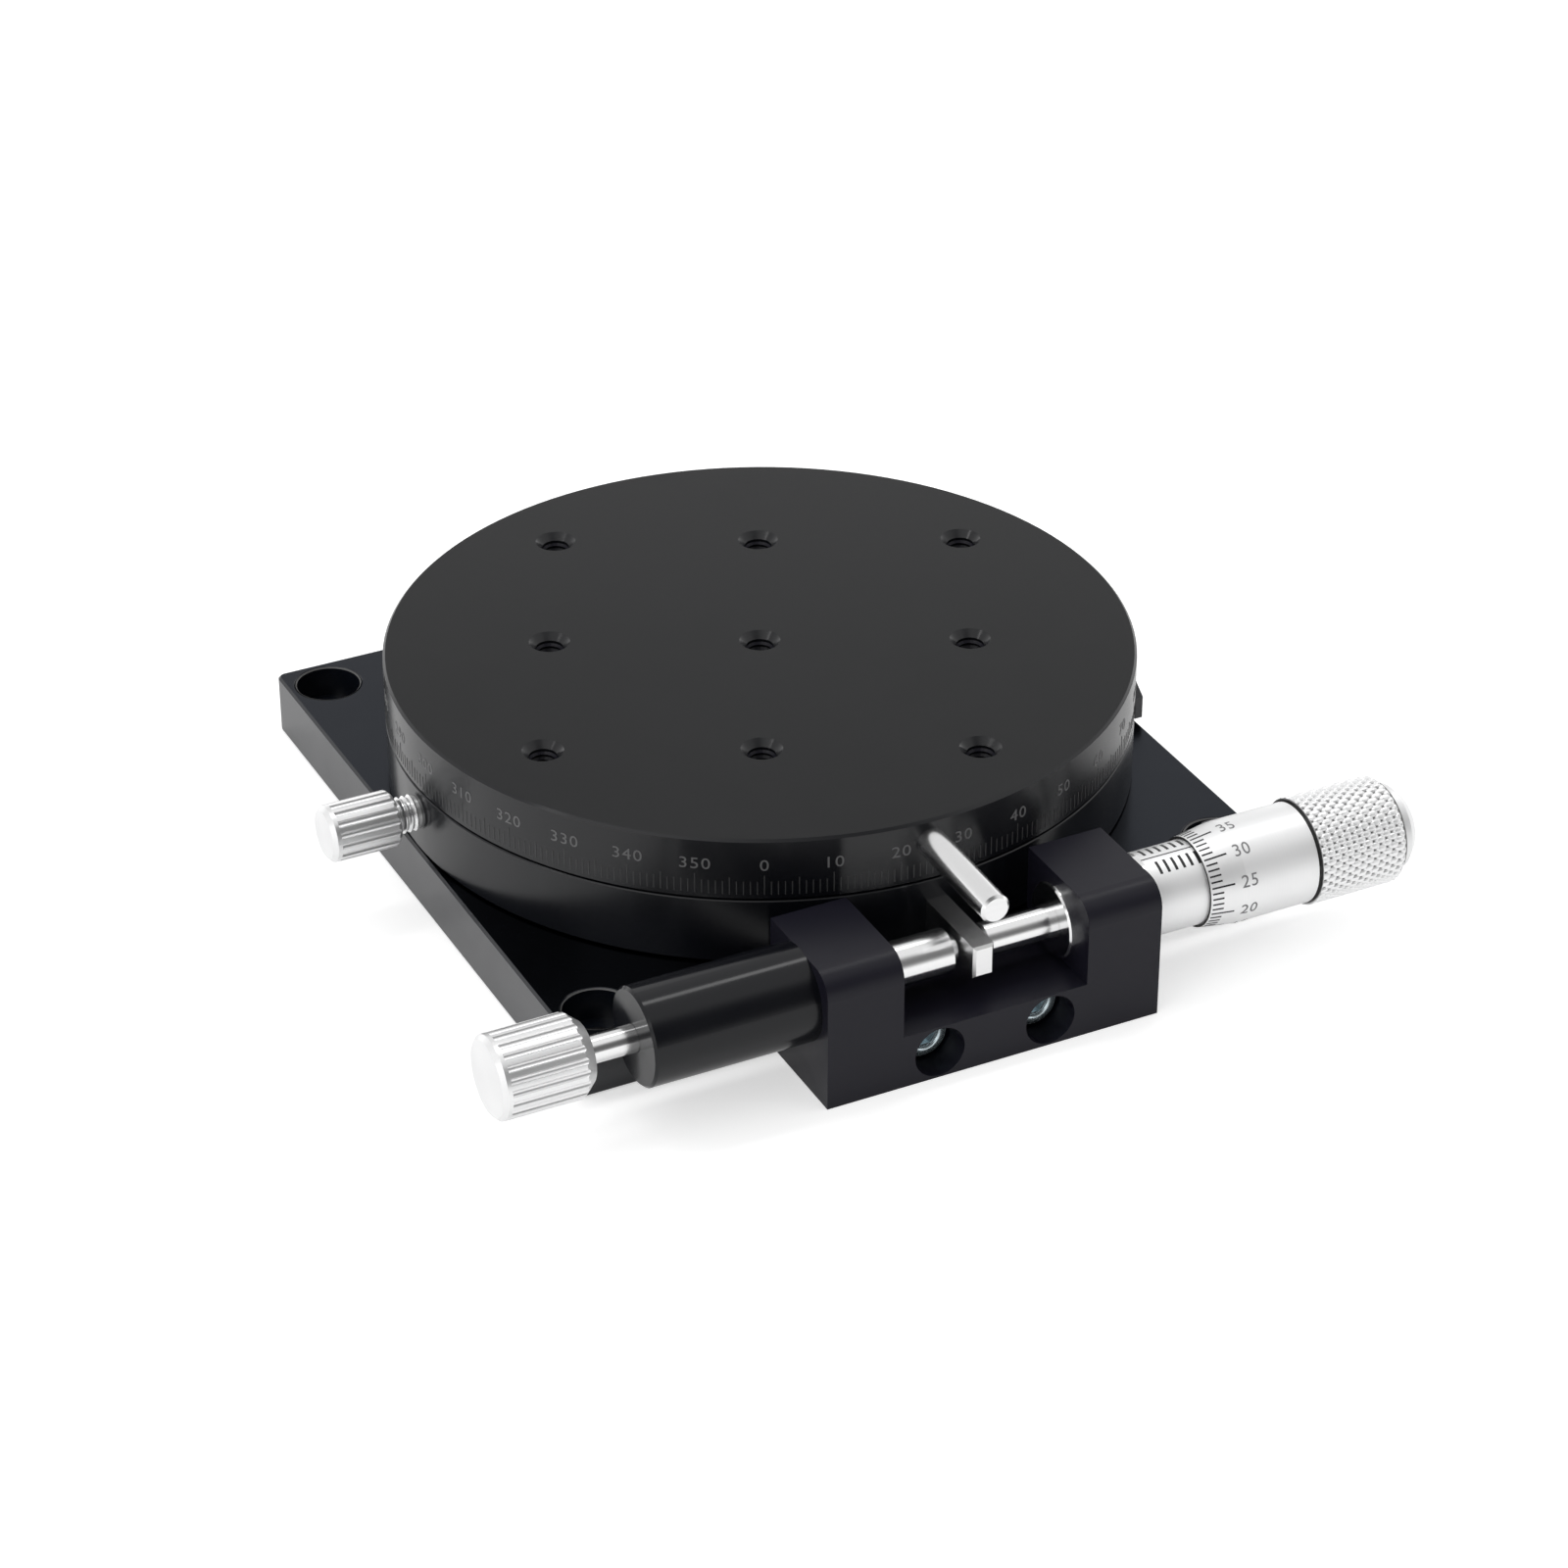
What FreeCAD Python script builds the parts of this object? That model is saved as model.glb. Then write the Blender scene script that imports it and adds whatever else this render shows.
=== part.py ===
import FreeCAD
import Part
import Sketcher
import math
import os
import re

# Manual rotation stage, 90 mm table: a square base, a bearing hub, a fine-motion ring
# with a tangent arm, a turntable with a degree scale, and a bracket that holds a
# micrometer on one side of the arm and a spring plunger on the other.
# Millimetres. The turning axis is Z, the base stands on Z = 0, the bracket is at -Y,
# the micrometer points to +X and the spring barrel to -X.

SIZES = [
    # base plate
    ("base_side", 90.0, "side of the square base"),
    ("base_thick", 7.7, "thickness of the base"),
    ("base_round", 1.0, "radius on the base's upright edges"),
    ("foot_pitch", 80.0, "distance between the corner holes"),
    ("foot_bore", 4.5, "corner hole for an M4 screw"),
    ("foot_head_bore", 8.0, "counterbore for its head"),
    ("foot_head_depth", 4.0, "depth of that counterbore"),
    ("mouth_break", 0.25, "chamfer on the mouths of bores"),
    # bearing hub
    ("pilot_bore", 20.0, "pilot that centres the hub in the base"),
    ("pilot_depth", 7.2, "how far the pilot enters the base"),
    ("hub_through", 8.0, "hole through the hub"),
    ("shoulder_land", 1.5, "width of the hub's shoulder under the inner race"),
    ("hub_screw_land", 1.0, "metal between the pilot and a hub screw's counterbore"),
    ("hub_screw_count", 4.0, "number of hub screws"),
    ("hub_screw_size", 3.0, "hub screw, M3"),
    ("hub_screw_reach", 7.0, "how far a hub screw enters the hub"),
    ("hub_head_bore", 6.0, "counterbore for a hub screw's head"),
    ("hub_head_depth", 3.4, "depth of that counterbore"),
    ("cap_head_wide", 5.5, "head of an M3 cap screw"),
    ("cap_head_high", 3.0, "height of that head"),
    ("cap_socket", 2.5, "hexagon socket across flats"),
    ("cap_socket_depth", 1.5, "depth of the socket"),
    # bearing
    ("race_bore", 40.0, "bore of the inner race"),
    ("race_outside", 52.0, "outside of the outer race"),
    ("race_height", 7.0, "height of both races"),
    ("ball_share", 0.58333333, "a ball, as a share of the space between bore and outside"),
    ("ball_count", 16.0, "number of balls"),
    ("ball_running_gap", 0.05, "gap between a ball and its groove"),
    ("land_share", 0.5, "gap between the races' lands, as a share of a ball"),
    ("cage_share", 0.66, "wall of the ball cage, as a share of that gap"),
    ("cage_rim", 0.55, "cage above and below a ball"),
    ("cage_pocket_gap", 0.15, "play of a ball in its pocket"),
    ("race_edge", 0.4, "chamfer on the races"),
    ("cover_thick", 1.2, "plate that clamps the inner race"),
    ("cover_bore", 10.0, "hole in that plate"),
    ("cover_screw_circle", 28.0, "circle of its screws"),
    ("cover_screw_size", 2.5, "countersunk screw, M2.5"),
    ("cover_screw_reach", 6.0, "how far that screw enters the hub"),
    ("cover_head_wide", 4.6, "head of that screw"),
    ("cover_head_high", 1.0, "height of its cone"),
    ("race_pinch", 0.1, "gap left between clamp plate and hub"),
    # outer race retainer
    ("retainer_gap", 0.5, "gap between the retainer and the base"),
    ("retainer_thick", 1.2, "retainer plate"),
    ("retainer_lip", 0.4, "lip that presses on the outer race"),
    ("retainer_inset", 0.5, "retainer is this much smaller than the skirt"),
    ("retainer_land", 1.8, "width of the lip"),
    ("retainer_screw_count", 6.0, "number of retainer screws"),
    ("retainer_screw_size", 2.0, "countersunk screw, M2"),
    ("retainer_screw_reach", 5.0, "length of that screw in the skirt"),
    ("retainer_head_wide", 3.8, "head of that screw"),
    ("retainer_head_high", 0.9, "height of its cone"),
    # slip ring and fine-motion ring
    ("slip_inset", 2.0, "slip ring's edge inside the ring's inner edge"),
    ("slip_outset", 2.75, "slip ring's edge inside the ring's outer edge"),
    ("slip_thick", 0.6, "thickness of the slip ring"),
    ("slip_groove", 0.4, "groove in the base that holds it"),
    ("disc_inset", 0.25, "ring and table inside the base's sides"),
    ("ring_height", 8.1, "height of the fine-motion ring"),
    ("skirt_wall", 6.0, "wall of the table's skirt"),
    ("skirt_gap", 0.05, "running gap between the ring and the skirt"),
    ("edge_break", 0.3, "small chamfer on outer edges"),
    ("ring_break", 0.12, "chamfer where the ring and the table meet"),
    # tangent arm
    ("arm_wide", 2.6, "width of the flat arm"),
    ("arm_high", 4.0, "height of the flat arm"),
    ("arm_reach", 56.0, "distance from the axis to the arm's end"),
    ("arm_seat", 3.95, "metal between the arm's root and the ring's bore"),
    ("dowel_size", 1.5, "dowel that holds the arm"),
    ("dowel_inset", 3.0, "distance from the arm's root to the dowel"),
    ("dowel_floor", 0.6, "metal left below the dowel"),
    # clamp screw
    ("clamp_height", 4.6, "clamp screw's axis above the ring's underside"),
    ("clamp_thread", 4.0, "clamp screw, M4"),
    ("thread_gap", 0.05, "gap left for a thread, on the radius"),
    ("clamp_neck", 2.85, "bare screw between the ring and the knob"),
    ("clamp_knob_size", 6.8, "knob of the clamp screw"),
    ("clamp_knob_length", 8.6, "length of that knob"),
    ("clamp_flutes", 16.0, "flutes round that knob"),
    ("pad_length", 1.5, "brake pad"),
    ("pad_gap", 0.35, "gap between the pad and the skirt when released"),
    # table
    ("table_gap", 0.25, "gap between the ring and the table"),
    ("table_thick", 7.75, "height of the table's rim"),
    ("recess_land", 1.5, "width of the table's seat on the outer race"),
    ("recess_head", 0.6, "air between the clamp plate and the recess"),
    ("grid_pitch", 25.0, "pitch of the tapped holes"),
    ("grid_drill", 3.3, "tapping hole for M4"),
    ("grid_mouth", 4.9, "countersunk mouth"),
    ("grid_floor", 0.6, "metal left below a tapped hole"),
    ("rest_turn", -25.8, "angle at which the table stands at rest"),
    # turning pin
    ("pin_size", 3.5, "turning pin"),
    ("pin_reach", 60.4, "distance from the axis to the pin's end"),
    ("pin_drop", 2.8, "pin's axis below the table's face"),
    ("pin_mark", 24.7, "degree mark at which the pin stands"),
    ("pin_thread", 2.5, "threaded end of the pin"),
    ("pin_thread_length", 7.0, "length of that end"),
    # bracket
    ("bracket_wide", 42.0, "width of the bracket"),
    ("bracket_deep", 14.0, "depth of the bracket"),
    ("ear_high", 17.0, "height of the two ears"),
    ("ear_thick", 9.4, "thickness of an ear"),
    ("nut_clear", 0.3, "air between the lock nut and the web below it"),
    ("ear_round", 3.0, "radius on an ear's upper front edge"),
    ("drive_setback", 7.0, "drive axis in front of the base"),
    ("drive_high", 11.5, "drive axis above the table top the base stands on"),
    ("bolt_spacing", 14.0, "distance between the bracket screws"),
    ("bolt_high", 3.35, "height of the bracket screws"),
    ("bolt_head_bore", 6.2, "counterbore for their heads"),
    ("bolt_head_depth", 6.8, "depth of that counterbore"),
    ("bolt_reach", 8.0, "how far a bracket screw enters the base"),
    ("screw_slack", 0.2, "play of a screw in its hole, on the radius"),
    # micrometer
    ("spindle_size", 4.0, "spindle"),
    ("spindle_gap", 0.03, "running gap of the spindle, on the radius"),
    ("tip_gap", 0.05, "gap between a tip and the arm"),
    ("spindle_nose", 0.5, "depth of the cone at the spindle's tip"),
    ("spindle_flat", 1.2, "small end of that cone"),
    ("spindle_tip", 3.0, "radius that rounds the spindle's tip"),
    ("screw_size", 4.4, "thread of the spindle"),
    ("screw_start", 5.0, "start of the thread past the ear's face"),
    ("screw_length", 15.5, "length of the thread"),
    ("spindle_tail", 3.6, "seat of the thimble on the spindle"),
    ("spindle_tail_length", 5.5, "length of that seat"),
    ("stem_size", 7.5, "stem that passes through the ear"),
    ("stem_fit", 0.02, "gap between the stem and the ear, on the radius"),
    ("stem_end", 0.9, "stem past the ear's inner face"),
    ("stem_flange", 1.0, "flange that rests on the ear"),
    ("stem_body", 8.4, "stem inside the sleeve"),
    ("stem_length", 15.0, "stem past the ear's outer face"),
    ("stem_relief", 0.1, "relief bore starts this far inside the ear"),
    ("lock_nut_size", 9.0, "nut on the ear's inner face"),
    ("nut_break", 0.2, "chamfer on that nut"),
    ("feed_nut_size", 6.4, "split nut inside the stem"),
    ("feed_nut_length", 5.5, "length of that nut"),
    ("sleeve_size", 10.0, "graduated sleeve"),
    ("sleeve_length", 12.0, "length of the sleeve"),
    ("thimble_start", 7.5, "thimble's edge past the ear's face at rest"),
    ("lip_wall", 0.27, "wall at the thimble's thin edge"),
    ("thimble_size", 12.0, "thimble"),
    ("thimble_gap", 0.08, "gap between the thimble and the sleeve, on the radius"),
    ("bevel_length", 4.5, "bevel with the graduations"),
    ("thimble_plain", 14.0, "thimble up to the grip"),
    ("thimble_bore_end", 12.7, "depth of the thimble's bore"),
    ("grip_size", 12.8, "knurled grip"),
    ("grip_wall", 1.1, "wall of the grip"),
    ("grip_length", 12.0, "length of the grip"),
    ("end_cap_size", 10.2, "cap on the thimble"),
    ("end_cap_length", 2.4, "height of the cap"),
    ("end_cap_round", 1.2, "chamfer on the cap"),
    ("cap_screw", 3.0, "screw of the cap"),
    ("cap_screw_gap", 0.5, "gap between that screw and the spindle"),
    ("knob_break", 0.5, "chamfer on the knobs and the grip"),
    # spring plunger
    ("barrel_size", 11.5, "spring barrel"),
    ("barrel_length", 20.0, "length of the barrel"),
    ("barrel_bore", 7.0, "bore of the barrel"),
    ("barrel_wall", 2.6, "end wall of the barrel"),
    ("spigot_size", 9.0, "threaded spigot in the ear"),
    ("spigot_length", 5.2, "length of the spigot"),
    ("spigot_gap", 0.2, "gap behind the spigot"),
    ("plunger_size", 5.3, "plunger"),
    ("plunger_gap", 0.04, "running gap of the plunger, on the radius"),
    ("plunger_nose", 1.55, "length of the cone at the plunger's tip"),
    ("plunger_flat", 2.0, "small end of that cone"),
    ("plunger_tip", 2.2, "radius that rounds the plunger's tip"),
    ("plunger_head", 3.0, "length of the plunger's head"),
    ("travel", 4.55, "travel of the drive each way"),
    ("travel_spare", 0.25, "spare travel at each end"),
    ("spring_wire", 0.6, "wire of the return spring"),
    ("spring_mean", 5.6, "mean diameter of the spring"),
    ("spring_turns", 5.0, "turns of the spring"),
    ("rod_size", 3.2, "rod of the pull knob"),
    ("rod_gap", 0.06, "gap round the rod in the barrel, on the radius"),
    ("rod_grip", 6.0, "rod inside the pull knob"),
    ("pull_gap", 6.0, "gap between the barrel and the pull knob"),
    ("pull_knob_size", 9.75, "pull knob"),
    ("pull_knob_length", 11.3, "length of the pull knob"),
    ("pull_collar", 1.5, "length of its smooth collar"),
    ("pull_collar_size", 7.2, "small end of the collar"),
    ("pull_flutes", 22.0, "flutes round the pull knob"),
    ("flute_size", 0.9, "width of a flute"),
    # index plate
    ("index_wide", 24.8, "width of the index plate"),
    ("index_thick", 1.0, "thickness of the index plate"),
    ("index_top_wide", 10.0, "width of its top"),
    ("index_shoulder", 2.9, "its upright edge above the base"),
    ("index_clear", 0.1, "its top below the table"),
    ("index_tab_wide", 16.0, "width of its tab"),
    ("index_tab_floor", 1.5, "tab's edge above the floor"),
    ("index_screw_spacing", 9.0, "distance between its screws"),
    ("index_screw_size", 2.5, "button screw, M2.5"),
    ("index_screw_reach", 5.0, "how far that screw enters the base"),
    ("index_head_wide", 4.5, "its head"),
    ("index_head_high", 1.3, "height of its head"),
    ("index_head_round", 0.7, "radius on its head"),
]

# places that follow from the sizes above
RING_BOTTOM = "(base_thick - slip_groove + slip_thick)"
RING_TOP = "(" + RING_BOTTOM + " + ring_height)"
TABLE_UNDER = "(" + RING_TOP + " + table_gap)"
TABLE_FACE = "(" + TABLE_UNDER + " + table_thick)"
SKIRT_BOTTOM = "(base_thick + retainer_gap + retainer_thick)"
RACE_BOTTOM = "(" + SKIRT_BOTTOM + " + retainer_lip)"
RACE_TOP = "(" + RACE_BOTTOM + " + race_height)"
RACE_MIDDLE = "(" + RACE_BOTTOM + " + race_height / 2)"
COVER_TOP = "(" + RACE_TOP + " + cover_thick)"
RECESS_TOP = "(" + COVER_TOP + " + recess_head)"
BALL_CIRCLE = "((race_bore + race_outside) / 4)"
BALL = "((race_outside - race_bore) / 2 * ball_share)"
LAND_GAP = "(" + BALL + " * land_share)"
CAGE_WALL = "(" + LAND_GAP + " * cage_share)"
CAGE_HIGH = "(" + BALL + " + 2 * cage_rim)"
SHOULDER = "(race_bore / 2 + shoulder_land)"
DISC = "(base_side / 2 - disc_inset)"
HUB_CIRCLE = "((pilot_bore + hub_head_bore) / 2 + hub_screw_land)"
SKIRT = "(race_outside / 2 + skirt_wall)"
SKIRT_MIDDLE = "(race_outside / 2 + skirt_wall / 2)"
RING_BORE = "(" + SKIRT + " + skirt_gap)"
ARM_ROOT = "(" + RING_BORE + " + arm_seat)"
DOWEL = "(" + ARM_ROOT + " + dowel_inset)"
FRONT = "(base_side / 2)"
DRIVE_Y = "(0 - " + FRONT + " - drive_setback)"
CLAMP_Z = "(" + RING_BOTTOM + " + clamp_height)"
SLIP_IN = "(" + RING_BORE + " + slip_inset)"
SLIP_OUT = "(" + DISC + " - slip_outset)"
EAR_OUT = "(bracket_wide / 2)"
EAR_IN = "(" + EAR_OUT + " - ear_thick)"
TIP = "(arm_wide / 2 + tip_gap)"
THIMBLE_LEFT = "(" + EAR_OUT + " + thimble_start)"
GRIP_LEFT = "(" + THIMBLE_LEFT + " + thimble_plain)"
GRIP_RIGHT = "(" + GRIP_LEFT + " + grip_length)"
THIMBLE_WEB = "(" + THIMBLE_LEFT + " + thimble_bore_end)"
SCREW_LEFT = "(" + EAR_OUT + " + screw_start)"
SCREW_RIGHT = "(" + SCREW_LEFT + " + screw_length)"
STEM_RIGHT = "(" + EAR_OUT + " + stem_length)"
SPINDLE_END = "(" + SCREW_RIGHT + " + spindle_tail_length)"
CAP_SCREW = "(" + SPINDLE_END + " + cap_screw_gap)"
THIMBLE_BORE = "(sleeve_size / 2 + thimble_gap)"
GRIP_SEAT = "(grip_size / 2 - grip_wall)"
WEB_TOP = "(drive_high - lock_nut_size / 2 - nut_clear)"
BARREL_LEFT = "(0 - " + EAR_OUT + " - barrel_length)"
EAR_STEP = "(0 - " + EAR_OUT + " + spigot_length + spigot_gap)"
HEAD_RIGHT = "(" + EAR_STEP + " - travel - travel_spare)"
HEAD_LEFT = "(" + HEAD_RIGHT + " - plunger_head)"
PULL_RIGHT = "(" + BARREL_LEFT + " - pull_gap)"
PULL_LEFT = "(" + PULL_RIGHT + " - pull_knob_length)"
CLAMP_NEAR = "(0 - " + DISC + " - clamp_neck)"
CLAMP_FAR = "(" + CLAMP_NEAR + " - clamp_knob_length)"
PAD_INNER = "(0 - " + SKIRT + " - pad_gap)"
PAD_OUTER = "(" + PAD_INNER + " - pad_length)"
PIN_Z = "(" + TABLE_FACE + " - pin_drop)"
INDEX_TOP = "(" + TABLE_UNDER + " - index_clear)"

doc = FreeCAD.newDocument("RotationStage")
sheet = doc.addObject("Spreadsheet::Sheet", "Sizes")
for row, (alias, value, meaning) in enumerate(SIZES, start=1):
    sheet.set("A%d" % row, meaning)
    sheet.set("B%d" % row, str(value))
    sheet.setAlias("B%d" % row, alias)
doc.recompute()
NAMES = {alias for alias, value, meaning in SIZES}
made = []


def bound(text):
    """The same formula with each size read from the sheet."""
    return re.sub(r"[a-z_]+", lambda m: "Sizes." + m.group() if m.group() in NAMES else m.group(), text)


def new_body(label):
    body = doc.addObject("PartDesign::Body", label)
    body.Label = label
    made.append(body)
    return body


def origin_part(body, role):
    """One of the body's own planes or axes."""
    return [part for part in body.Origin.OriginFeatures if part.Role == role][0]


def sketch_on(body, name, role, lift="0"):
    """A sketch on a plane of the body, moved along the plane's normal by lift."""
    sketch = body.newObject("Sketcher::SketchObject", name)
    sketch.AttachmentSupport = [(origin_part(body, role), "")]
    sketch.MapMode = "FlatFace"
    sketch.setExpression("AttachmentOffset.Base.z", bound(lift))
    return sketch


def hold(sketch, kind, index, point, formula, guess):
    """Ties one coordinate of a point to a formula of sizes."""
    number = sketch.addConstraint(Sketcher.Constraint(kind, -1, 1, index, point, guess))
    sketch.setExpression("Constraints[%d]" % number, bound(formula))


def outline(sketch, corners):
    """A closed outline of straight lines through corners given as formulas."""
    start = sketch.GeometryCount
    count = len(corners)
    spots = [FreeCAD.Vector(10 * math.cos(6.2 * i / count), 10 * math.sin(6.2 * i / count), 0)
             for i in range(count)]
    for i in range(count):
        sketch.addGeometry(Part.LineSegment(spots[i], spots[(i + 1) % count]), False)
    for i in range(count):
        following = start + (i + 1) % count
        sketch.addConstraint(Sketcher.Constraint("Coincident", start + i, 2, following, 1))
    for i, (across, along) in enumerate(corners):
        hold(sketch, "DistanceX", start + i, 1, across, spots[i].x)
        hold(sketch, "DistanceY", start + i, 1, along, spots[i].y)


def circle(sketch, across, along, diameter):
    centre = FreeCAD.Vector(1, 1, 0)
    index = sketch.addGeometry(Part.Circle(centre, FreeCAD.Vector(0, 0, 1), 1.0), False)
    hold(sketch, "DistanceX", index, 3, across, 1.0)
    hold(sketch, "DistanceY", index, 3, along, 1.0)
    number = sketch.addConstraint(Sketcher.Constraint("Radius", index, 1.0))
    sketch.setExpression("Constraints[%d]" % number, bound("(" + diameter + ") / 2"))


def rectangle(sketch, left, low, right, high):
    outline(sketch, [(left, low), (right, low), (right, high), (left, high)])


def pad(body, sketch, length, backwards=False):
    feature = body.newObject("PartDesign::Pad", sketch.Name + "_pad")
    feature.Profile = sketch
    feature.setExpression("Length", bound(length))
    feature.Reversed = backwards
    doc.recompute()
    return feature


def pocket(body, sketch, length, backwards=False):
    """Cuts a sketch into the body and makes sure that it removed something."""
    before = body.Shape.Volume
    feature = body.newObject("PartDesign::Pocket", sketch.Name + "_cut")
    feature.Profile = sketch
    feature.setExpression("Length", bound(length))
    feature.Reversed = backwards
    doc.recompute()
    if body.Shape.Volume >= before - 1e-6:
        raise RuntimeError(sketch.Name + " removes nothing")
    return feature


def revolve(body, sketch, axis, angle=360.0):
    feature = body.newObject("PartDesign::Revolution", sketch.Name + "_turned")
    feature.Profile = sketch
    feature.ReferenceAxis = (sketch, [axis])
    feature.Angle = angle
    doc.recompute()
    return feature


def turned(label, corners, axis="H_Axis", at=None):
    """A turned piece. Corners are (along the axis, radius) for H_Axis, and
    (radius, height) for V_Axis."""
    body = new_body(label)
    sketch = sketch_on(body, label + "_profile", "XZ_Plane")
    outline(sketch, corners)
    revolve(body, sketch, axis)
    if at:
        place(body, *at)
    return body


def place(body, x, y, z):
    body.setExpression("Placement.Base.x", bound(x))
    body.setExpression("Placement.Base.y", bound(y))
    body.setExpression("Placement.Base.z", bound(z))


def repeat(body, features, count, role="Z_Axis"):
    """Repeats features round one of the body's axes."""
    pattern = body.newObject("PartDesign::PolarPattern", features[0].Name + "_round")
    pattern.Originals = features
    pattern.Axis = (origin_part(body, role), [""])
    pattern.Angle = 360
    pattern.setExpression("Occurrences", bound(count))
    body.Tip = pattern
    doc.recompute()
    return pattern


def mirror(body, features, role):
    pattern = body.newObject("PartDesign::Mirrored", features[0].Name + "_mirrored")
    pattern.Originals = features
    pattern.MirrorPlane = (origin_part(body, role), [""])
    body.Tip = pattern
    doc.recompute()
    return pattern


def edges_that(body, test):
    return ["Edge%d" % (i + 1) for i, edge in enumerate(body.Shape.Edges) if test(edge)]


def soften(body, kind, names, size):
    """A fillet or a chamfer on edges of the body's present shape."""
    if not names:
        raise RuntimeError(body.Label + " has no such edge")
    feature = body.newObject("PartDesign::" + kind, body.Label + "_" + kind.lower())
    feature.Base = (body.Tip if body.Tip != feature else feature.BaseFeature, names)
    feature.setExpression("Radius" if kind == "Fillet" else "Size", bound(size))
    doc.recompute()
    return feature


def size(name):
    return float(sheet.get(name))


def on_drive_axis(label, corners):
    """A piece turned about the line of the micrometer and the plunger."""
    return turned(label, corners, "H_Axis", ("0", DRIVE_Y, "drive_high"))


def round_edge_at(x, radius):
    """Finds the circular edge of a turned piece at one station of its axis."""
    def test(edge):
        if not isinstance(edge.Curve, Part.Circle):
            return False
        return abs(edge.Curve.Center.x - x) < 1e-4 and abs(edge.Curve.Radius - radius) < 1e-4
    return test


def upright(edge):
    box = edge.BoundBox
    return box.XLength < 1e-6 and box.YLength < 1e-6


# Base plate: square, with counterbored corner holes, the hub's pilot and its screws,
# a groove for the slip ring, and tapped holes for the bracket and the index plate.
base = new_body("base_plate")
plan = sketch_on(base, "base_plan", "XY_Plane")
rectangle(plan, "0 - base_side / 2", "0 - base_side / 2", "base_side / 2", "base_side / 2")
pad(base, plan, "base_thick")
soften(base, "Fillet", edges_that(base, upright), "base_round")


def level_rim(edge):
    """An edge that runs round the plate's upper or lower face."""
    return edge.BoundBox.ZLength < 1e-6


soften(base, "Chamfer", edges_that(base, level_rim), "edge_break")
feet = sketch_on(base, "foot_holes", "XY_Plane", "base_thick")
heads = sketch_on(base, "foot_heads", "XY_Plane", "base_thick")
for sx in ("foot_pitch / 2", "0 - foot_pitch / 2"):
    for sy in ("foot_pitch / 2", "0 - foot_pitch / 2"):
        circle(feet, sx, sy, "foot_bore")
        circle(heads, sx, sy, "foot_head_bore")
pocket(base, feet, "base_thick")
pocket(base, heads, "foot_head_depth")


def foot_mouth(edge):
    """The mouth of a corner counterbore."""
    if not isinstance(edge.Curve, Part.Circle) or edge.BoundBox.ZLength > 1e-6:
        return False
    wide = abs(edge.Curve.Radius - size("foot_head_bore") / 2) < 1e-4
    return wide and edge.BoundBox.ZMin > size("base_thick") - 1e-4


soften(base, "Chamfer", edges_that(base, foot_mouth), "mouth_break")
pilot = sketch_on(base, "pilot_hole", "XY_Plane", "base_thick")
circle(pilot, "0", "0", "pilot_bore")
pocket(base, pilot, "base_thick")
groove = sketch_on(base, "slip_groove_plan", "XY_Plane", "base_thick")
circle(groove, "0", "0", "2 * " + SLIP_IN)
circle(groove, "0", "0", "2 * " + SLIP_OUT)
pocket(base, groove, "slip_groove")
hub_hole = sketch_on(base, "hub_screw_hole", "XY_Plane")
circle(hub_hole, HUB_CIRCLE + " * cos(45)", HUB_CIRCLE + " * sin(45)",
       "hub_screw_size + 2 * screw_slack")
hub_hole_cut = pocket(base, hub_hole, "base_thick", True)
hub_head = sketch_on(base, "hub_head_hole", "XY_Plane")
circle(hub_head, HUB_CIRCLE + " * cos(45)", HUB_CIRCLE + " * sin(45)", "hub_head_bore")
hub_head_cut = pocket(base, hub_head, "hub_head_depth", True)
repeat(base, [hub_hole_cut, hub_head_cut], "hub_screw_count")
bracket_taps = sketch_on(base, "bracket_taps", "XZ_Plane", FRONT)
circle(bracket_taps, "bolt_spacing / 2", "bolt_high", "hub_screw_size")
circle(bracket_taps, "0 - bolt_spacing / 2", "bolt_high", "hub_screw_size")
pocket(base, bracket_taps, "bolt_reach")
index_taps = sketch_on(base, "index_taps", "YZ_Plane", FRONT)
circle(index_taps, "index_screw_spacing / 2", "(index_tab_floor + base_thick) / 2", "index_screw_size")
circle(index_taps, "0 - index_screw_spacing / 2", "(index_tab_floor + base_thick) / 2", "index_screw_size")
pocket(base, index_taps, "index_screw_reach")

# Hub: pilot, shoulder and race seat, turned in one piece, with two circles of tapped holes.
hub = turned("center_hub", [
    ("hub_through / 2", "base_thick - pilot_depth"),
    ("pilot_bore / 2", "base_thick - pilot_depth"),
    ("pilot_bore / 2", "base_thick"),
    (SHOULDER, "base_thick"),
    (SHOULDER, RACE_BOTTOM),
    ("race_bore / 2", RACE_BOTTOM),
    ("race_bore / 2", RACE_TOP + " - race_pinch"),
    ("hub_through / 2", RACE_TOP + " - race_pinch"),
], "V_Axis")
hub_tap = sketch_on(hub, "hub_tap", "XY_Plane", "base_thick")
circle(hub_tap, HUB_CIRCLE + " * cos(45)", HUB_CIRCLE + " * sin(45)", "hub_screw_size")
hub_tap_cut = pocket(hub, hub_tap, "hub_screw_reach", True)
cover_tap = sketch_on(hub, "cover_tap", "XY_Plane", RACE_TOP + " - race_pinch")
circle(cover_tap, "cover_screw_circle / 2", "0", "cover_screw_size")
cover_tap_cut = pocket(hub, cover_tap, "cover_screw_reach")
repeat(hub, [hub_tap_cut, cover_tap_cut], "hub_screw_count")

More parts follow.
